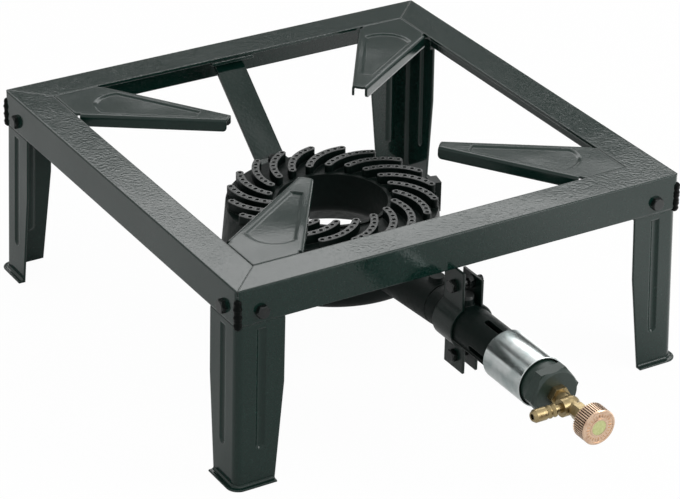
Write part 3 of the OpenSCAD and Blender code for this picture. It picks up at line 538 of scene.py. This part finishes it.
@dataclass(frozen=True)
class CastIron(Finish):
    """Sand-cast iron, thinly painted, matte; its edges and crests paler, as scuffed iron with a
    painted highlight.
    """

    pale: Colour = (0.002, 0.007, 0.0055, 1.0)
    # Pale edges: scuffed iron with a painted highlight.
    rubbed_glint: Colour = (0.10, 0.105, 0.10, 1.0)
    rubbed_glint_share: float = 0.7
    # Paler crests: partly ground iron, partly a painted highlight of the light from above.
    crest_glint: Colour = (0.030, 0.033, 0.032, 1.0)
    crest_between: Pair = (0.1112, 0.1118)
    crest_shine: float = 0.5
    crest_rough: float = 0.3
    rough_low: float = 0.46
    rough_high: float = 0.66
    grain: float = 1500.0
    relief: float = 0.00020
    edge_radius: float = 0.0008

    def build(self) -> bpy.types.Material:
        """Makes the casting's material.

        Returns:
            The material.
        """
        material, graph, shader = self.start()
        edge = self.group(graph, Effect.soft_edge(), Radius=self.edge_radius)
        skin = self.group(graph, Effect.cast_skin(), Scale=self.grain)
        # The crests get the paler colour: a painted highlight on ground iron.
        top = graph.spread(graph.axes()["Z"], *self.crest_between)
        colour = graph.tint(skin["Tone"], self.base, self.pale)
        colour = graph.tint(top, colour, self.crest_glint)
        # Painted highlight with scuffed iron along the edges.
        worn_glint_mask = graph.maths("MULTIPLY", edge["WornGlint"], self.rubbed_glint_share)
        graph.fill(shader, {
            "Base Color": graph.tint(worn_glint_mask, colour, self.rubbed_glint),
            "Roughness": graph.spread(skin["Tone"], 0.0, 1.0, self.rough_low, self.rough_high),
            "Coat Weight": graph.maths("MULTIPLY", top, self.crest_shine),
            "Coat Roughness": self.crest_rough,
            "Normal": self.emboss(graph, skin["Height"], self.relief, edge["Normal"]),
        })
        return material


@dataclass(frozen=True)
class Plate(Finish):
    """Zinc or oxide plating over sheet and screws: clouded, with fine scratches."""

    cloud: Colour = (0.62, 0.64, 0.64, 1.0)
    rough_low: float = 0.16
    rough_high: float = 0.30
    edge_radius: float = 0.0004
    scratch_scale: float = 2400.0
    scratch_stretch: Point = (1.0, 0.02, 1.0)
    relief: float = 0.00001
    clouds: Blotches = Blotches(70.0, 5.0, 0.35, 0.70)
    grain: Blotches = Blotches(2600.0, 3.0, 0.30, 0.75)

    def build(self) -> bpy.types.Material:
        """Makes the plating's material.

        Returns:
            The material.
        """
        material, graph, shader = self.start()
        edge = self.group(graph, Effect.soft_edge(), Radius=self.edge_radius)
        clouds = self.mask(graph, self.clouds)
        uneven = graph.weigh((self.mask(graph, self.grain), 0.5), (clouds, 0.5))
        feeds = {"Vector": graph.place(), "Scale": self.scratch_stretch}
        drawn = graph.add("ShaderNodeMapping", feeds).outputs[0]
        scratch = graph.noise(drawn, self.scratch_scale, 3.0, 0.6)
        graph.fill(shader, {
            "Base Color": graph.tint(clouds, self.base, self.cloud),
            "Roughness": graph.spread(uneven, 0.0, 1.0, self.rough_low, self.rough_high),
            "Normal": self.emboss(graph, scratch, self.relief, edge["Normal"]),
        })
        return material


@dataclass(frozen=True)
class Turned(Finish):
    """Metal turned on a lathe: fine rings, darker where it is tarnished, with painted shade in its
    grooves.
    """

    shade: Colour = (0.20, 0.14, 0.06, 1.0)
    shade_share: float = 0.7
    rough_low: float = 0.22
    rough_high: float = 0.40
    pitch: float = 6000.0
    tone_between: Pair = (0.1, 0.5)
    relief: float = 0.00002
    edge_radius: float = 0.0002
    # Painted shade in the grooves between the knob's ribs.
    groove_shade: Colour = (0.05, 0.03, 0.02, 1.0)
    groove_r: float = 0.0
    groove_from: float = 0.0
    groove_blur: float = 0.0004
    tarnish: Blotches = Blotches(220.0, 5.0, 0.45, 0.80)

    def build(self) -> bpy.types.Material:
        """Makes the turned metal's material.

        Returns:
            The material.
        """
        material, graph, shader = self.start()
        edge = self.group(graph, Effect.soft_edge(), Radius=self.edge_radius)
        marks = self.group(graph, Effect.lathe_marks(), Pitch=self.pitch)
        tarnish = graph.maths("MULTIPLY", self.mask(graph, self.tarnish), self.shade_share)
        colour = graph.tint(tarnish, self.base, self.shade)
        if self.groove_r:
            # Paints shade into the grooves.
            colour = graph.tint(self.hollow(graph), colour, self.groove_shade)
        rough = graph.spread(marks["Tone"], *self.tone_between, self.rough_low, self.rough_high)
        graph.fill(shader, {
            "Base Color": colour,
            "Roughness": rough,
            "Normal": self.emboss(graph, marks["Height"], self.relief, edge["Normal"]),
        })
        return material

    def hollow(self, graph: Graph) -> bpy.types.NodeSocket:
        """Finds the grooves of a ribbed rim, behind the rim's own face, where shade is painted.

        Args:
            graph: the material's graph.

        Returns:
            The socket of a mask that is 1 in the grooves.
        """
        axes = graph.axes()
        radial = graph.radius(axes["X"], graph.maths("SUBTRACT", axes["Z"], TUBE_Z))
        deep = graph.spread(radial, self.groove_r, self.groove_r - self.groove_blur)
        behind = graph.spread(axes["Y"], self.groove_from, self.groove_from + self.groove_blur)
        return graph.maths("MULTIPLY", deep, behind)


@dataclass(frozen=True)
class Coating(Finish):
    """Rubber or lacquer: one soft layer with a faint texture."""

    pale: Colour = (0.05, 0.05, 0.05, 1.0)
    rough: float = 0.5
    peel_scale: float = 2500.0
    relief: float = 0.00002
    edge_radius: float = 0.0003
    clouds: Blotches = Blotches(500.0, 4.0, 0.35, 0.70)

    def build(self) -> bpy.types.Material:
        """Makes the coating's material.

        Returns:
            The material.
        """
        material, graph, shader = self.start()
        edge = self.group(graph, Effect.soft_edge(), Radius=self.edge_radius)
        peel = self.group(graph, Effect.peel(), Scale=self.peel_scale)["Height"]
        graph.fill(shader, {
            "Base Color": graph.tint(self.mask(graph, self.clouds), self.base, self.pale),
            "Roughness": self.rough,
            "Normal": self.emboss(graph, peel, self.relief, edge["Normal"]),
        })
        return material


class Paintbox:
    """Every finish of the range, each made once."""

    def __init__(self) -> None:
        """Makes the materials by the name of their finish."""
        green = (0.002, 0.015, 0.011, 1.0)
        finishes = (
            Enamel("rail_enamel", green, ior=1.36, relief=0.00009),
            Enamel("sheet_enamel", green, ior=1.36, relief=0.00004, sway=0.0016),
            Enamel(
                "support_enamel", green, ior=1.34, relief=0.00004, sway=0.0010, droop=0.0022,
                # Pale upper edges here too: scuffed paint with a painted highlight.
                gloss_low=0.12, gloss_high=0.20, edge_radius=0.0024, bare_glint=(0.05, 0.065, 0.06, 1.0),
            ),
            Enamel(
                "bracket_enamel", (0.001, 0.007, 0.005, 1.0), ior=1.36,
                gloss_low=0.28, gloss_high=0.42,
            ),
            CastIron("cast_iron", (0.0006, 0.0034, 0.0026, 1.0), specular=0.12),
            # A paler copy of the iron for the port rims: a painted highlight where the rims catch the
            # light.
            CastIron(
                # Paler crests here too: a painted highlight.
                "port_rim_glint_iron", (0.055, 0.058, 0.056, 1.0), crest_glint=(0.085, 0.09, 0.088, 1.0),
                relief=0.00005,
            ),
            Coating(
                "cap_paint", (0.004, 0.016, 0.011, 1.0), pale=(0.009, 0.024, 0.018, 1.0), rough=0.45
            ),
            Plate(
                "black_zinc", (0.003, 0.005, 0.0045, 1.0), ior=1.38,
                cloud=(0.009, 0.012, 0.011, 1.0), rough_low=0.2, rough_high=0.35,
            ),
            Plate("bright_zinc", (0.50, 0.53, 0.525, 1.0), 1.0, cloud=(0.34, 0.39, 0.385, 1.0)),
            Turned("turned_brass", (0.30, 0.235, 0.125, 1.0), 1.0, rough_low=0.28, rough_high=0.46),
            Turned(
                "yellow_zinc", (0.64, 0.46, 0.33, 1.0), 1.0, shade=(0.36, 0.20, 0.13, 1.0),
                edge_radius=0.00012, groove_r=0.0139, groove_from=RING_Y - 0.3785,
            ),
            Turned(
                "tick_zinc", (0.50, 0.30, 0.17, 1.0), 1.0, shade=(0.30, 0.16, 0.09, 1.0),
                edge_radius=0.0001,
            ),
            Enamel(
                "weld_enamel", (0.0003, 0.0012, 0.0009, 1.0), ior=1.15, gloss_low=0.3,
                gloss_high=0.5, fleck=(0.001, 0.003, 0.002, 1.0), bare_glint=(0.002, 0.004, 0.003, 1.0),
            ),
            Coating(
                "green_lacquer", (0.46, 0.49, 0.20, 1.0), pale=(0.54, 0.56, 0.26, 1.0), rough=0.35
            ),
            Coating("seal_rubber", (0.018, 0.018, 0.018, 1.0), rough=0.6),
        )
        self.materials = {finish.name: finish.build() for finish in finishes}

    def dress(self, piece: bpy.types.Object, slot: str, finish: str) -> None:
        """Gives every material slot of a piece one finish.

        Args:
            piece: the object to dress.
            slot: the record's material slot; not used.
            finish: the name of the finish.
        """
        if not piece.material_slots:
            piece.data.materials.append(self.materials[finish])
        for held in piece.material_slots:
            held.material = self.materials[finish]


@dataclass(frozen=True)
class Lamp:
    """One soft rectangular lamp: where it is, what it faces, its size and its watts."""

    name: str
    place: Point
    aim: Point
    size: Pair
    power: float

    def build(self) -> None:
        """Adds the lamp to the scene."""
        data = bpy.data.lights.new(self.name, "AREA")
        data.shape = "RECTANGLE"
        data.size, data.size_y = self.size
        data.energy = self.power
        lamp = bpy.data.objects.new(self.name, data)
        lamp.location = self.place
        facing = Vector(self.aim) - Vector(self.place)
        lamp.rotation_euler = facing.to_track_quat("-Z", "Y").to_euler()
        bpy.context.scene.collection.objects.link(lamp)


@dataclass
class Studio:
    """Camera, floor, world and lamps.

    The box is the big soft lamp behind the range: the level tops of the front
    and left rails mirror it, and those of the others pass below its edge. The
    wall under it gives the rails' faces their tone, and the dark card puts the
    dark band on the sleeve. The floor is mirrored brighter towards the right,
    where the front faces get paler.
    """

    camera_place: Point = (-1.065388, -1.768823 + RING_Y, 1.1595)
    azimuth: float = -31.260197
    elevation: float = 28.062995
    roll: float = 1.069010
    focal_px: float = 2817.251
    image_w: float = 680.0
    sensor: float = 36.0
    floor_size: Pair = (24.0, 24.0)
    floor_gap: float = 0.0002
    floor_tone: float = 0.9
    floor_glow: float = 0.97
    floor_sheen: float = 0.2
    sheen_reach: Pair = (0.13, 0.30)
    sheen_right: float = 5.5
    box_turn: float = 31.0
    box_far: float = 2.5
    box_low: float = 1.465
    box_size: Pair = (2.6, 1.2)
    box_power: float = 30.0
    wall_size: Pair = (3.4, 0.9)
    wall_tone: float = 0.55
    card_from: Point = (0.0, -0.195, TUBE_Z)
    card_aim: Point = (-0.25, 0.754, 0.60)
    card_far: float = 1.6
    card_size: Pair = (0.42, 0.42)
    card_tone: float = 0.02
    ambient: float = 0.5
    fills: tuple[Lamp, ...] = (
        Lamp("fill_left", (-2.2, -1.2, 1.3), (0.0, RING_Y, 0.12), (1.6, 1.6), 6.0),
        Lamp("fill_top", (0.2, -0.6, 2.6), (0.0, RING_Y, 0.12), (2.0, 2.0), 14.0),
        Lamp("fill_right", (1.1, -1.3, 1.0), (0.6, -0.5, 0.0), (0.8, 0.8), 14.0),
    )

    def build(self) -> None:
        """Sets up everything that isn't the range itself."""
        self.camera()
        self.world()
        self.floor()
        self.cards()
        self.lamps()

    def camera(self) -> None:
        """Places the camera where the photograph was taken from."""
        az, el, roll = (math.radians(a) for a in (self.azimuth, self.elevation, self.roll))
        back = Vector((math.sin(az) * math.cos(el), -math.cos(az) * math.cos(el), math.sin(el)))
        right = (-back).cross(Vector((0.0, 0.0, 1.0))).normalized()
        up = right.cross(-back)
        across = right * math.cos(roll) + up * math.sin(roll)
        above = up * math.cos(roll) - right * math.sin(roll)
        data = bpy.data.cameras.new("camera")
        data.sensor_width = self.sensor
        data.lens = self.focal_px / self.image_w * self.sensor
        eye = bpy.data.objects.new("camera", data)
        bpy.context.scene.collection.objects.link(eye)
        turn = Matrix((across, above, back)).transposed().to_4x4()
        eye.matrix_world = Matrix.Translation(self.camera_place) @ turn
        bpy.context.scene.camera = eye

    def world(self) -> None:
        """White surroundings that light the range at a plain level."""
        world = bpy.data.worlds.new("studio")
        bpy.context.scene.world = world
        graph = Graph.fresh(world)
        path = graph.add("ShaderNodeLightPath").outputs
        seen = graph.maths("MAXIMUM", path["Is Camera Ray"], path["Is Glossy Ray"])
        seen = graph.maths("MAXIMUM", seen, path["Is Transmission Ray"])
        strength = graph.spread(seen, 0.0, 1.0, self.ambient, 1.0)
        sky = graph.add("ShaderNodeBackground", {"Color": grey(1.0), "Strength": strength})
        graph.add("ShaderNodeOutputWorld", {"Surface": sky.outputs[0]})

    def sheet(self, name: str, size: Pair, place: Matrix) -> tuple[bpy.types.Object, Graph]:
        """Adds a flat sheet with an empty material of its own name.

        Args:
            name: the sheet's name.
            size: width and height.
            place: where its middle and its axes go.

        Returns:
            The sheet and a graph for its material.
        """
        mesh = bpy.data.meshes.new(name)
        form = bmesh.new()
        bmesh.ops.create_grid(form, x_segments=1, y_segments=1, size=0.5)
        sized = place @ Matrix.Diagonal((*size, 1.0, 1.0))
        bmesh.ops.transform(form, matrix=sized, verts=form.verts)
        form.to_mesh(mesh)
        form.free()
        piece = bpy.data.objects.new(name, mesh)
        bpy.context.scene.collection.objects.link(piece)
        material = bpy.data.materials.new(name)
        mesh.materials.append(material)
        return piece, Graph.fresh(material)

    def floor(self) -> None:
        """A pale floor that looks white and still takes the shadow."""
        low = Matrix.Translation((0.0, 0.0, -self.floor_gap))
        floor, graph = self.sheet("floor", self.floor_size, low)
        paint = graph.add("ShaderNodeBsdfDiffuse", {"Color": grey(self.floor_tone)})
        path = graph.add("ShaderNodeLightPath").outputs
        plain = graph.maths("MAXIMUM", path["Is Camera Ray"], path["Is Transmission Ray"])
        plain = graph.maths("MULTIPLY", plain, self.floor_glow)
        mirrored = graph.maths("MULTIPLY", path["Is Glossy Ray"], self.floor_sheen)
        share = graph.maths("MAXIMUM", plain, mirrored)
        lit = graph.spread(graph.axes()["X"], *self.sheen_reach, 0.0, self.sheen_right)
        lit = graph.maths("MULTIPLY", lit, path["Is Glossy Ray"])
        feeds = {"Color": grey(1.0), "Strength": graph.maths("ADD", lit, 1.0)}
        glow = graph.add("ShaderNodeEmission", feeds)
        both = graph.add("ShaderNodeMixShader", {0: share, 1: paint.outputs[0], 2: glow.outputs[0]})
        graph.add("ShaderNodeOutputMaterial", {"Surface": both.outputs[0]})

    def card(self, name: str, place: Vector, aim: Vector, size: Pair, tone: float) -> None:
        """Adds a plain card that only shows in what mirrors it.

        Args:
            name: the card's name.
            place: its middle.
            aim: the direction that it faces.
            size: width and height.
            tone: how pale it is.
        """
        spin = aim.to_track_quat("Z", "Y").to_matrix().to_4x4()
        card, graph = self.sheet(name, size, Matrix.Translation(place) @ spin)
        card.visible_camera = False
        paint = graph.add("ShaderNodeBsdfDiffuse", {"Color": grey(tone)})
        graph.add("ShaderNodeOutputMaterial", {"Surface": paint.outputs[0]})

    def behind(self, height: float) -> Vector:
        """Point behind the range, on the upright through the soft box.

        Args:
            height: the point's height over the floor.

        Returns:
            The point.
        """
        turn = math.radians(self.box_turn)
        away = Vector((math.sin(turn), math.cos(turn), 0.0)) * self.box_far
        return away + Vector((0.0, RING_Y, height))

    def cards(self) -> None:
        """A dark card for the band on the sleeve, and a pale wall below the soft box."""
        aim = Vector(self.card_aim).normalized()
        place = Vector(self.card_from) + aim * self.card_far
        self.card("dark_card", place, -aim, self.card_size, self.card_tone)
        low = self.behind(self.box_low - 0.5 * self.wall_size[1])
        inward = Vector((0.0, RING_Y, low.z)) - low
        self.card("pale_wall", low, inward, self.wall_size, self.wall_tone)

    def lamps(self) -> None:
        """The soft box behind, mirrored in the front and left rails, and the soft fills."""
        middle = self.behind(self.box_low + 0.5 * self.box_size[1])
        inward = (0.0, RING_Y, middle.z)
        Lamp("soft_box_behind", tuple(middle), inward, self.box_size, self.box_power).build()
        for fill in self.fills:
            fill.build()


class Piece:
    """A new piece of the range: a mesh that is built, dressed and made to ride on a body."""

    name = "piece"
    slot = "enamel"
    finish = "sheet_enamel"
    body = Body.STAND
    merge_within = 1e-6
    sharp_from = 40.0

    def shape(self, form: bmesh.types.BMesh) -> None:
        """Fills the mesh; each kind of piece has its own way.

        Args:
            form: the mesh to fill.
        """
        raise NotImplementedError

    def lathe(
        self, form: bmesh.types.BMesh, profile: Iterable[Pair], steps: int, place: Matrix,
        hollow: bool = False,
    ) -> None:
        """Adds a turned shape.

        Args:
            form: the mesh to add to.
            profile: radius and height of each point, along the shape's own Z.
            steps: flats round the shape.
            place: where the shape's own axes go.
            hollow: whether the last point joins the first, as a ring with a hole needs.
        """
        part = bmesh.new()
        points = [part.verts.new((radius, 0.0, height)) for radius, height in profile]
        lines = [part.edges.new(pair) for pair in zip(points, points[1:])]
        if hollow:
            lines.append(part.edges.new((points[-1], points[0])))
        bmesh.ops.spin(
            part, geom=points + lines, cent=(0.0, 0.0, 0.0), axis=(0.0, 0.0, 1.0),
            angle=2.0 * math.pi, steps=steps, use_merge=True,
        )
        self.settle(form, part, place)

    def settle(self, form: bmesh.types.BMesh, part: bmesh.types.BMesh, place: Matrix) -> None:
        """Adds a finished small shape to the piece, and frees it.

        Args:
            form: the mesh being filled.
            part: the small shape, about its own axes.
            place: where those axes go.
        """
        bmesh.ops.transform(part, matrix=place, verts=part.verts)
        loose = bpy.data.meshes.new("loose")
        part.to_mesh(loose)
        part.free()
        form.from_mesh(loose)
        bpy.data.meshes.remove(loose)

    def build(self, paints: Paintbox) -> None:
        """Makes the piece's object.

        Args:
            paints: the finishes to dress it with.
        """
        mesh = bpy.data.meshes.new(self.name)
        form = bmesh.new()
        self.shape(form)
        bmesh.ops.remove_doubles(form, verts=form.verts, dist=self.merge_within)
        bmesh.ops.recalc_face_normals(form, faces=form.faces)
        for face in form.faces:
            face.smooth = True
        form.to_mesh(mesh)
        form.free()
        mesh.set_sharp_from_angle(angle=math.radians(self.sharp_from))
        piece = bpy.data.objects.new(self.name, mesh)
        bpy.context.scene.collection.objects.link(piece)
        paints.dress(piece, self.slot, self.finish)
        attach(piece, self.body.value)
        LOG.info("%s built with %d faces", self.name, len(mesh.polygons))


@dataclass
class PortRims(Piece):
    """Low cast rims round the gas ports on the crests of the vanes."""

    name = "port_rims"
    slot = "burner_iron"
    # Paler iron on the rims: a painted highlight.
    finish = "port_rim_glint_iron"
    top: float = 0.112
    hole_r: float = 0.0017
    hole_gap: float = 0.0001
    rim_w: float = 0.0009
    rim_h: float = 0.0003
    sunk: float = 0.0004
    bevel: float = 0.0002
    inner_share: float = 0.7
    outer_share: float = 0.8
    flats: int = 12
    inner_r: float = 0.0525
    arc_r: float = 0.0434984
    sweep: float = 60.949
    lead: float = 29.0
    phase: float = 8.8
    vanes: int = 20
    ports: int = 8

    def centres(self) -> Iterable[Vector]:
        """Finds the middle of every port, vane by vane.

        Yields:
            The middle of one port, on the crest of its vane.
        """
        lead = math.radians(self.lead)
        start = self.inner_r - self.arc_r * math.sin(lead)
        hub = Vector((start, -self.arc_r * math.cos(lead), 0.0))
        for vane in range(self.vanes):
            turn = Matrix.Rotation(math.radians(self.phase + 360.0 * vane / self.vanes), 4, "Z")
            for port in range(self.ports):
                angle = math.radians(90.0 - self.lead - self.sweep * port / (self.ports - 1))
                out = Vector((math.cos(angle), math.sin(angle), 0.0)) * self.arc_r
                yield turn @ (hub + out) + Vector((0.0, RING_Y, self.top))

    def shape(self, form: bmesh.types.BMesh) -> None:
        """Turns one small ring at each port.

        Args:
            form: the mesh to fill.
        """
        inner = self.hole_r + self.hole_gap
        outer = self.hole_r + self.rim_w
        profile = (
            (inner, -self.sunk),
            (inner, self.rim_h * self.inner_share),
            (inner + self.bevel, self.rim_h),
            (outer - self.bevel, self.rim_h * self.outer_share),
            (outer, -self.sunk),
        )
        for middle in self.centres():
            self.lathe(form, profile, self.flats, Matrix.Translation(middle), hollow=True)


@dataclass
class BoltThreads(Piece):
    """Screw threads on the ends of the bolts that stand out of their nuts and tabs."""

    name = "bolt_threads"
    slot = "black_fasteners"
    finish = "black_zinc"
    radius: float = 0.003
    proud: float = 0.0002
    rooted: float = 0.00005
    pitch: float = 0.001
    ridge_share: float = 0.42
    run_out: float = 0.9
    least_turns: float = 0.5
    steps: int = 16
    long_end: float = 0.0065
    short_end: float = 0.0015
    clamp_end: Point = (0.0095, RING_Y - 0.198, 0.122)
    lower_clamp_end: Point = (0.012, RING_Y - 0.198, 0.060)
    strap_end: Point = (0.0, RING_Y + 0.097, 0.084)
    frame_half: float = 0.2
    bolt_in: float = 0.021
    bolt_z: float = 0.147
    nut_face: float = 0.0098

    def ends(self) -> Iterable[tuple[Vector, Vector, float]]:
        """Finds every stretch of thread.

        Yields:
            The start, the direction and the length of one stretch.
        """
        rightwards = Vector((1.0, 0.0, 0.0))
        yield Vector(self.clamp_end), rightwards, self.long_end
        yield Vector(self.lower_clamp_end), rightwards, self.short_end
        yield Vector(self.strap_end), Vector((0.0, 0.0, -1.0)), self.short_end
        for quarter in range(4):
            turn = Matrix.Rotation(math.radians(90.0 * quarter), 4, "Z")
            inward = turn @ Vector((0.0, 1.0, 0.0))
            for side in (-1.0, 1.0):
                across = side * (self.frame_half - self.bolt_in)
                start = turn @ Vector((across, -self.frame_half + self.nut_face, self.bolt_z))
                yield start + Vector((0.0, RING_Y, 0.0)), inward, self.short_end

    def shape(self, form: bmesh.types.BMesh) -> None:
        """Winds a low ridge round each bolt's end.

        Args:
            form: the mesh to fill.
        """
        half = self.pitch * self.ridge_share
        root = self.radius - self.rooted
        section = ((root, 0.0), (self.radius + self.proud, half), (root, 2.0 * half))
        for start, along, length in self.ends():
            turns = max(length / self.pitch - self.run_out, self.least_turns)
            part = bmesh.new()
            corners = [part.verts.new((radius, 0.0, height)) for radius, height in section]
            loop = [part.edges.new((corners[i], corners[(i + 1) % 3])) for i in range(3)]
            wound = bmesh.ops.spin(
                part, geom=corners + loop, cent=(0.0, 0.0, 0.0), axis=(0.0, 0.0, 1.0),
                dvec=(0.0, 0.0, self.pitch / self.steps), angle=2.0 * math.pi * turns,
                steps=round(turns * self.steps),
            )
            last = [edge for edge in wound["geom_last"] if isinstance(edge, bmesh.types.BMEdge)]
            bmesh.ops.contextual_create(part, geom=loop)
            bmesh.ops.contextual_create(part, geom=last)
            turn = along.to_track_quat("Z", "Y").to_matrix().to_4x4()
            self.settle(form, part, Matrix.Translation(start) @ turn)


@dataclass
class DialTicks(Piece):
    """Plain raised ticks in the sunk ring of the knob's face, every sixth one longer."""

    name = "dial_ticks"
    slot = "knob_zinc"
    finish = "tick_zinc"
    body = Body.KNOB
    floor_y: float = RING_Y - 0.3797
    middle_r: float = 0.0097
    size: Point = (0.0006, 0.00052, 0.0022)
    long_size: Point = (0.00084, 0.00052, 0.00286)
    bevel: float = 0.000132
    count: int = 24
    long_every: int = 6

    def shape(self, form: bmesh.types.BMesh) -> None:
        """Sets one bevelled bar at each place.

        Args:
            form: the mesh to fill.
        """
        face = Matrix.Translation((0.0, self.floor_y, TUBE_Z))
        out = Matrix.Translation((0.0, 0.0, self.middle_r))
        for mark in range(self.count):
            size = self.size if mark % self.long_every else self.long_size
            bar = bmesh.new()
            bmesh.ops.create_cube(bar, size=1.0, matrix=Matrix.Diagonal((*size, 1.0)))
            bmesh.ops.bevel(
                bar, geom=list(bar.edges), offset=self.bevel, offset_type="OFFSET", segments=1,
                profile=0.5, affect="EDGES", material=-1,
            )
            turn = Matrix.Rotation(math.radians(360.0 * mark / self.count), 4, "Y")
            self.settle(form, bar, face @ turn @ out)


@dataclass
class CornerWelds(Piece):
    """Rough weld beads down the outer seams of the frame's corners."""

    name = "corner_welds"
    slot = "enamel"
    finish = "weld_enamel"
    reach: float = 0.1986
    low: float = 0.1345
    high: float = 0.1610
    radius: float = 0.0028
    lump: float = 0.0006
    pitch: float = 0.0071
    uneven: float = 0.4
    ripple: float = 1900.0
    taper: float = 9.0
    rings: int = 40
    flats: int = 14

    def profile(self, phase: float) -> Iterable[Pair]:
        """Draws the lumpy outline of one bead.

        Args:
            phase: shift of its lumps, so that no two beads are alike.

        Yields:
            The radius and the height of one point, from the bottom up.
        """
        yield 0.0, self.low
        for ring in range(1, self.rings):
            share = ring / self.rings
            height = self.low + (self.high - self.low) * share
            ends = min(1.0, self.taper * share, self.taper * (1.0 - share)) ** 0.5
            swell = abs(math.sin(math.pi * height / self.pitch + phase))
            swell *= 1.0 + self.uneven * math.sin(height * self.ripple + 2.0 * phase)
            yield (self.radius + self.lump * swell) * ends, height
        yield 0.0, self.high

    def shape(self, form: bmesh.types.BMesh) -> None:
        """Turns a lumpy bead for each corner.

        Args:
            form: the mesh to fill.
        """
        for corner, (side_x, side_y) in enumerate(((-1, -1), (1, -1), (1, 1), (-1, 1))):
            place = Vector((side_x * self.reach, RING_Y + side_y * self.reach, 0.0))
            self.lathe(form, self.profile(corner), self.flats, Matrix.Translation(place))


class Dressing:
    """Finishes for the solids that show as they are: the record's slot and the nodes of each."""

    nodes: dict[str, tuple[str, tuple[str, ...]]] = {
        "rail_enamel": ("enamel", ("front_rail", "right_rail", "back_rail", "left_rail")),
        "support_enamel": ("enamel", (
            "pot_support_front_left", "pot_support_front_right",
            "pot_support_back_right", "pot_support_back_left",
        )),
        "sheet_enamel": ("enamel", (
            "leg_front_left", "leg_front_right", "leg_back_right", "leg_back_left",
            "rear_strap",
        )),
        "bracket_enamel": ("enamel", ("tube_hanger", "clamp_half")),
        "cast_iron": ("burner_iron", ("burner_casting",)),
        "cap_paint": ("burner_iron", ("injector_holder",)),
        "black_zinc": ("black_fasteners", (
            "leg_bolts", "leg_nuts", "strap_bolt", "strap_nut",
            "clamp_bolt", "clamp_nut", "lower_clamp_bolt", "lower_clamp_nut",
        )),
        "bright_zinc": ("bright_zinc", ("air_shutter",)),
        "turned_brass": ("brass", (
            "gas_jet", "valve_body", "hose_tail", "gland_nut", "valve_spindle",
        )),
        "yellow_zinc": ("knob_zinc", ("control_knob",)),
        "green_lacquer": ("dial_disc", ("knob_disc",)),
        "seal_rubber": ("seal_rubber", ("spindle_seal",)),
    }

    def build(self, paints: Paintbox) -> None:
        """Dresses each solid and reports it.

        Args:
            paints: the finishes to dress them with.
        """
        for finish, (slot, names) in self.nodes.items():
            for name in names:
                paints.dress(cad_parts[name], slot, finish)
                LOG.info("%s dressed in %s", name, finish)


def main() -> None:
    """Builds the studio and dresses the range, part by part."""
    logging.basicConfig(level=logging.INFO, format="%(name)s: %(message)s")
    bpy.context.scene.view_settings.view_transform = "Standard"
    Studio().build()
    paints = Paintbox()
    Dressing().build(paints)
    for piece in (PortRims(), BoltThreads(), DialTicks(), CornerWelds()):
        piece.build(paints)


if __name__ == "__main__":
    main()
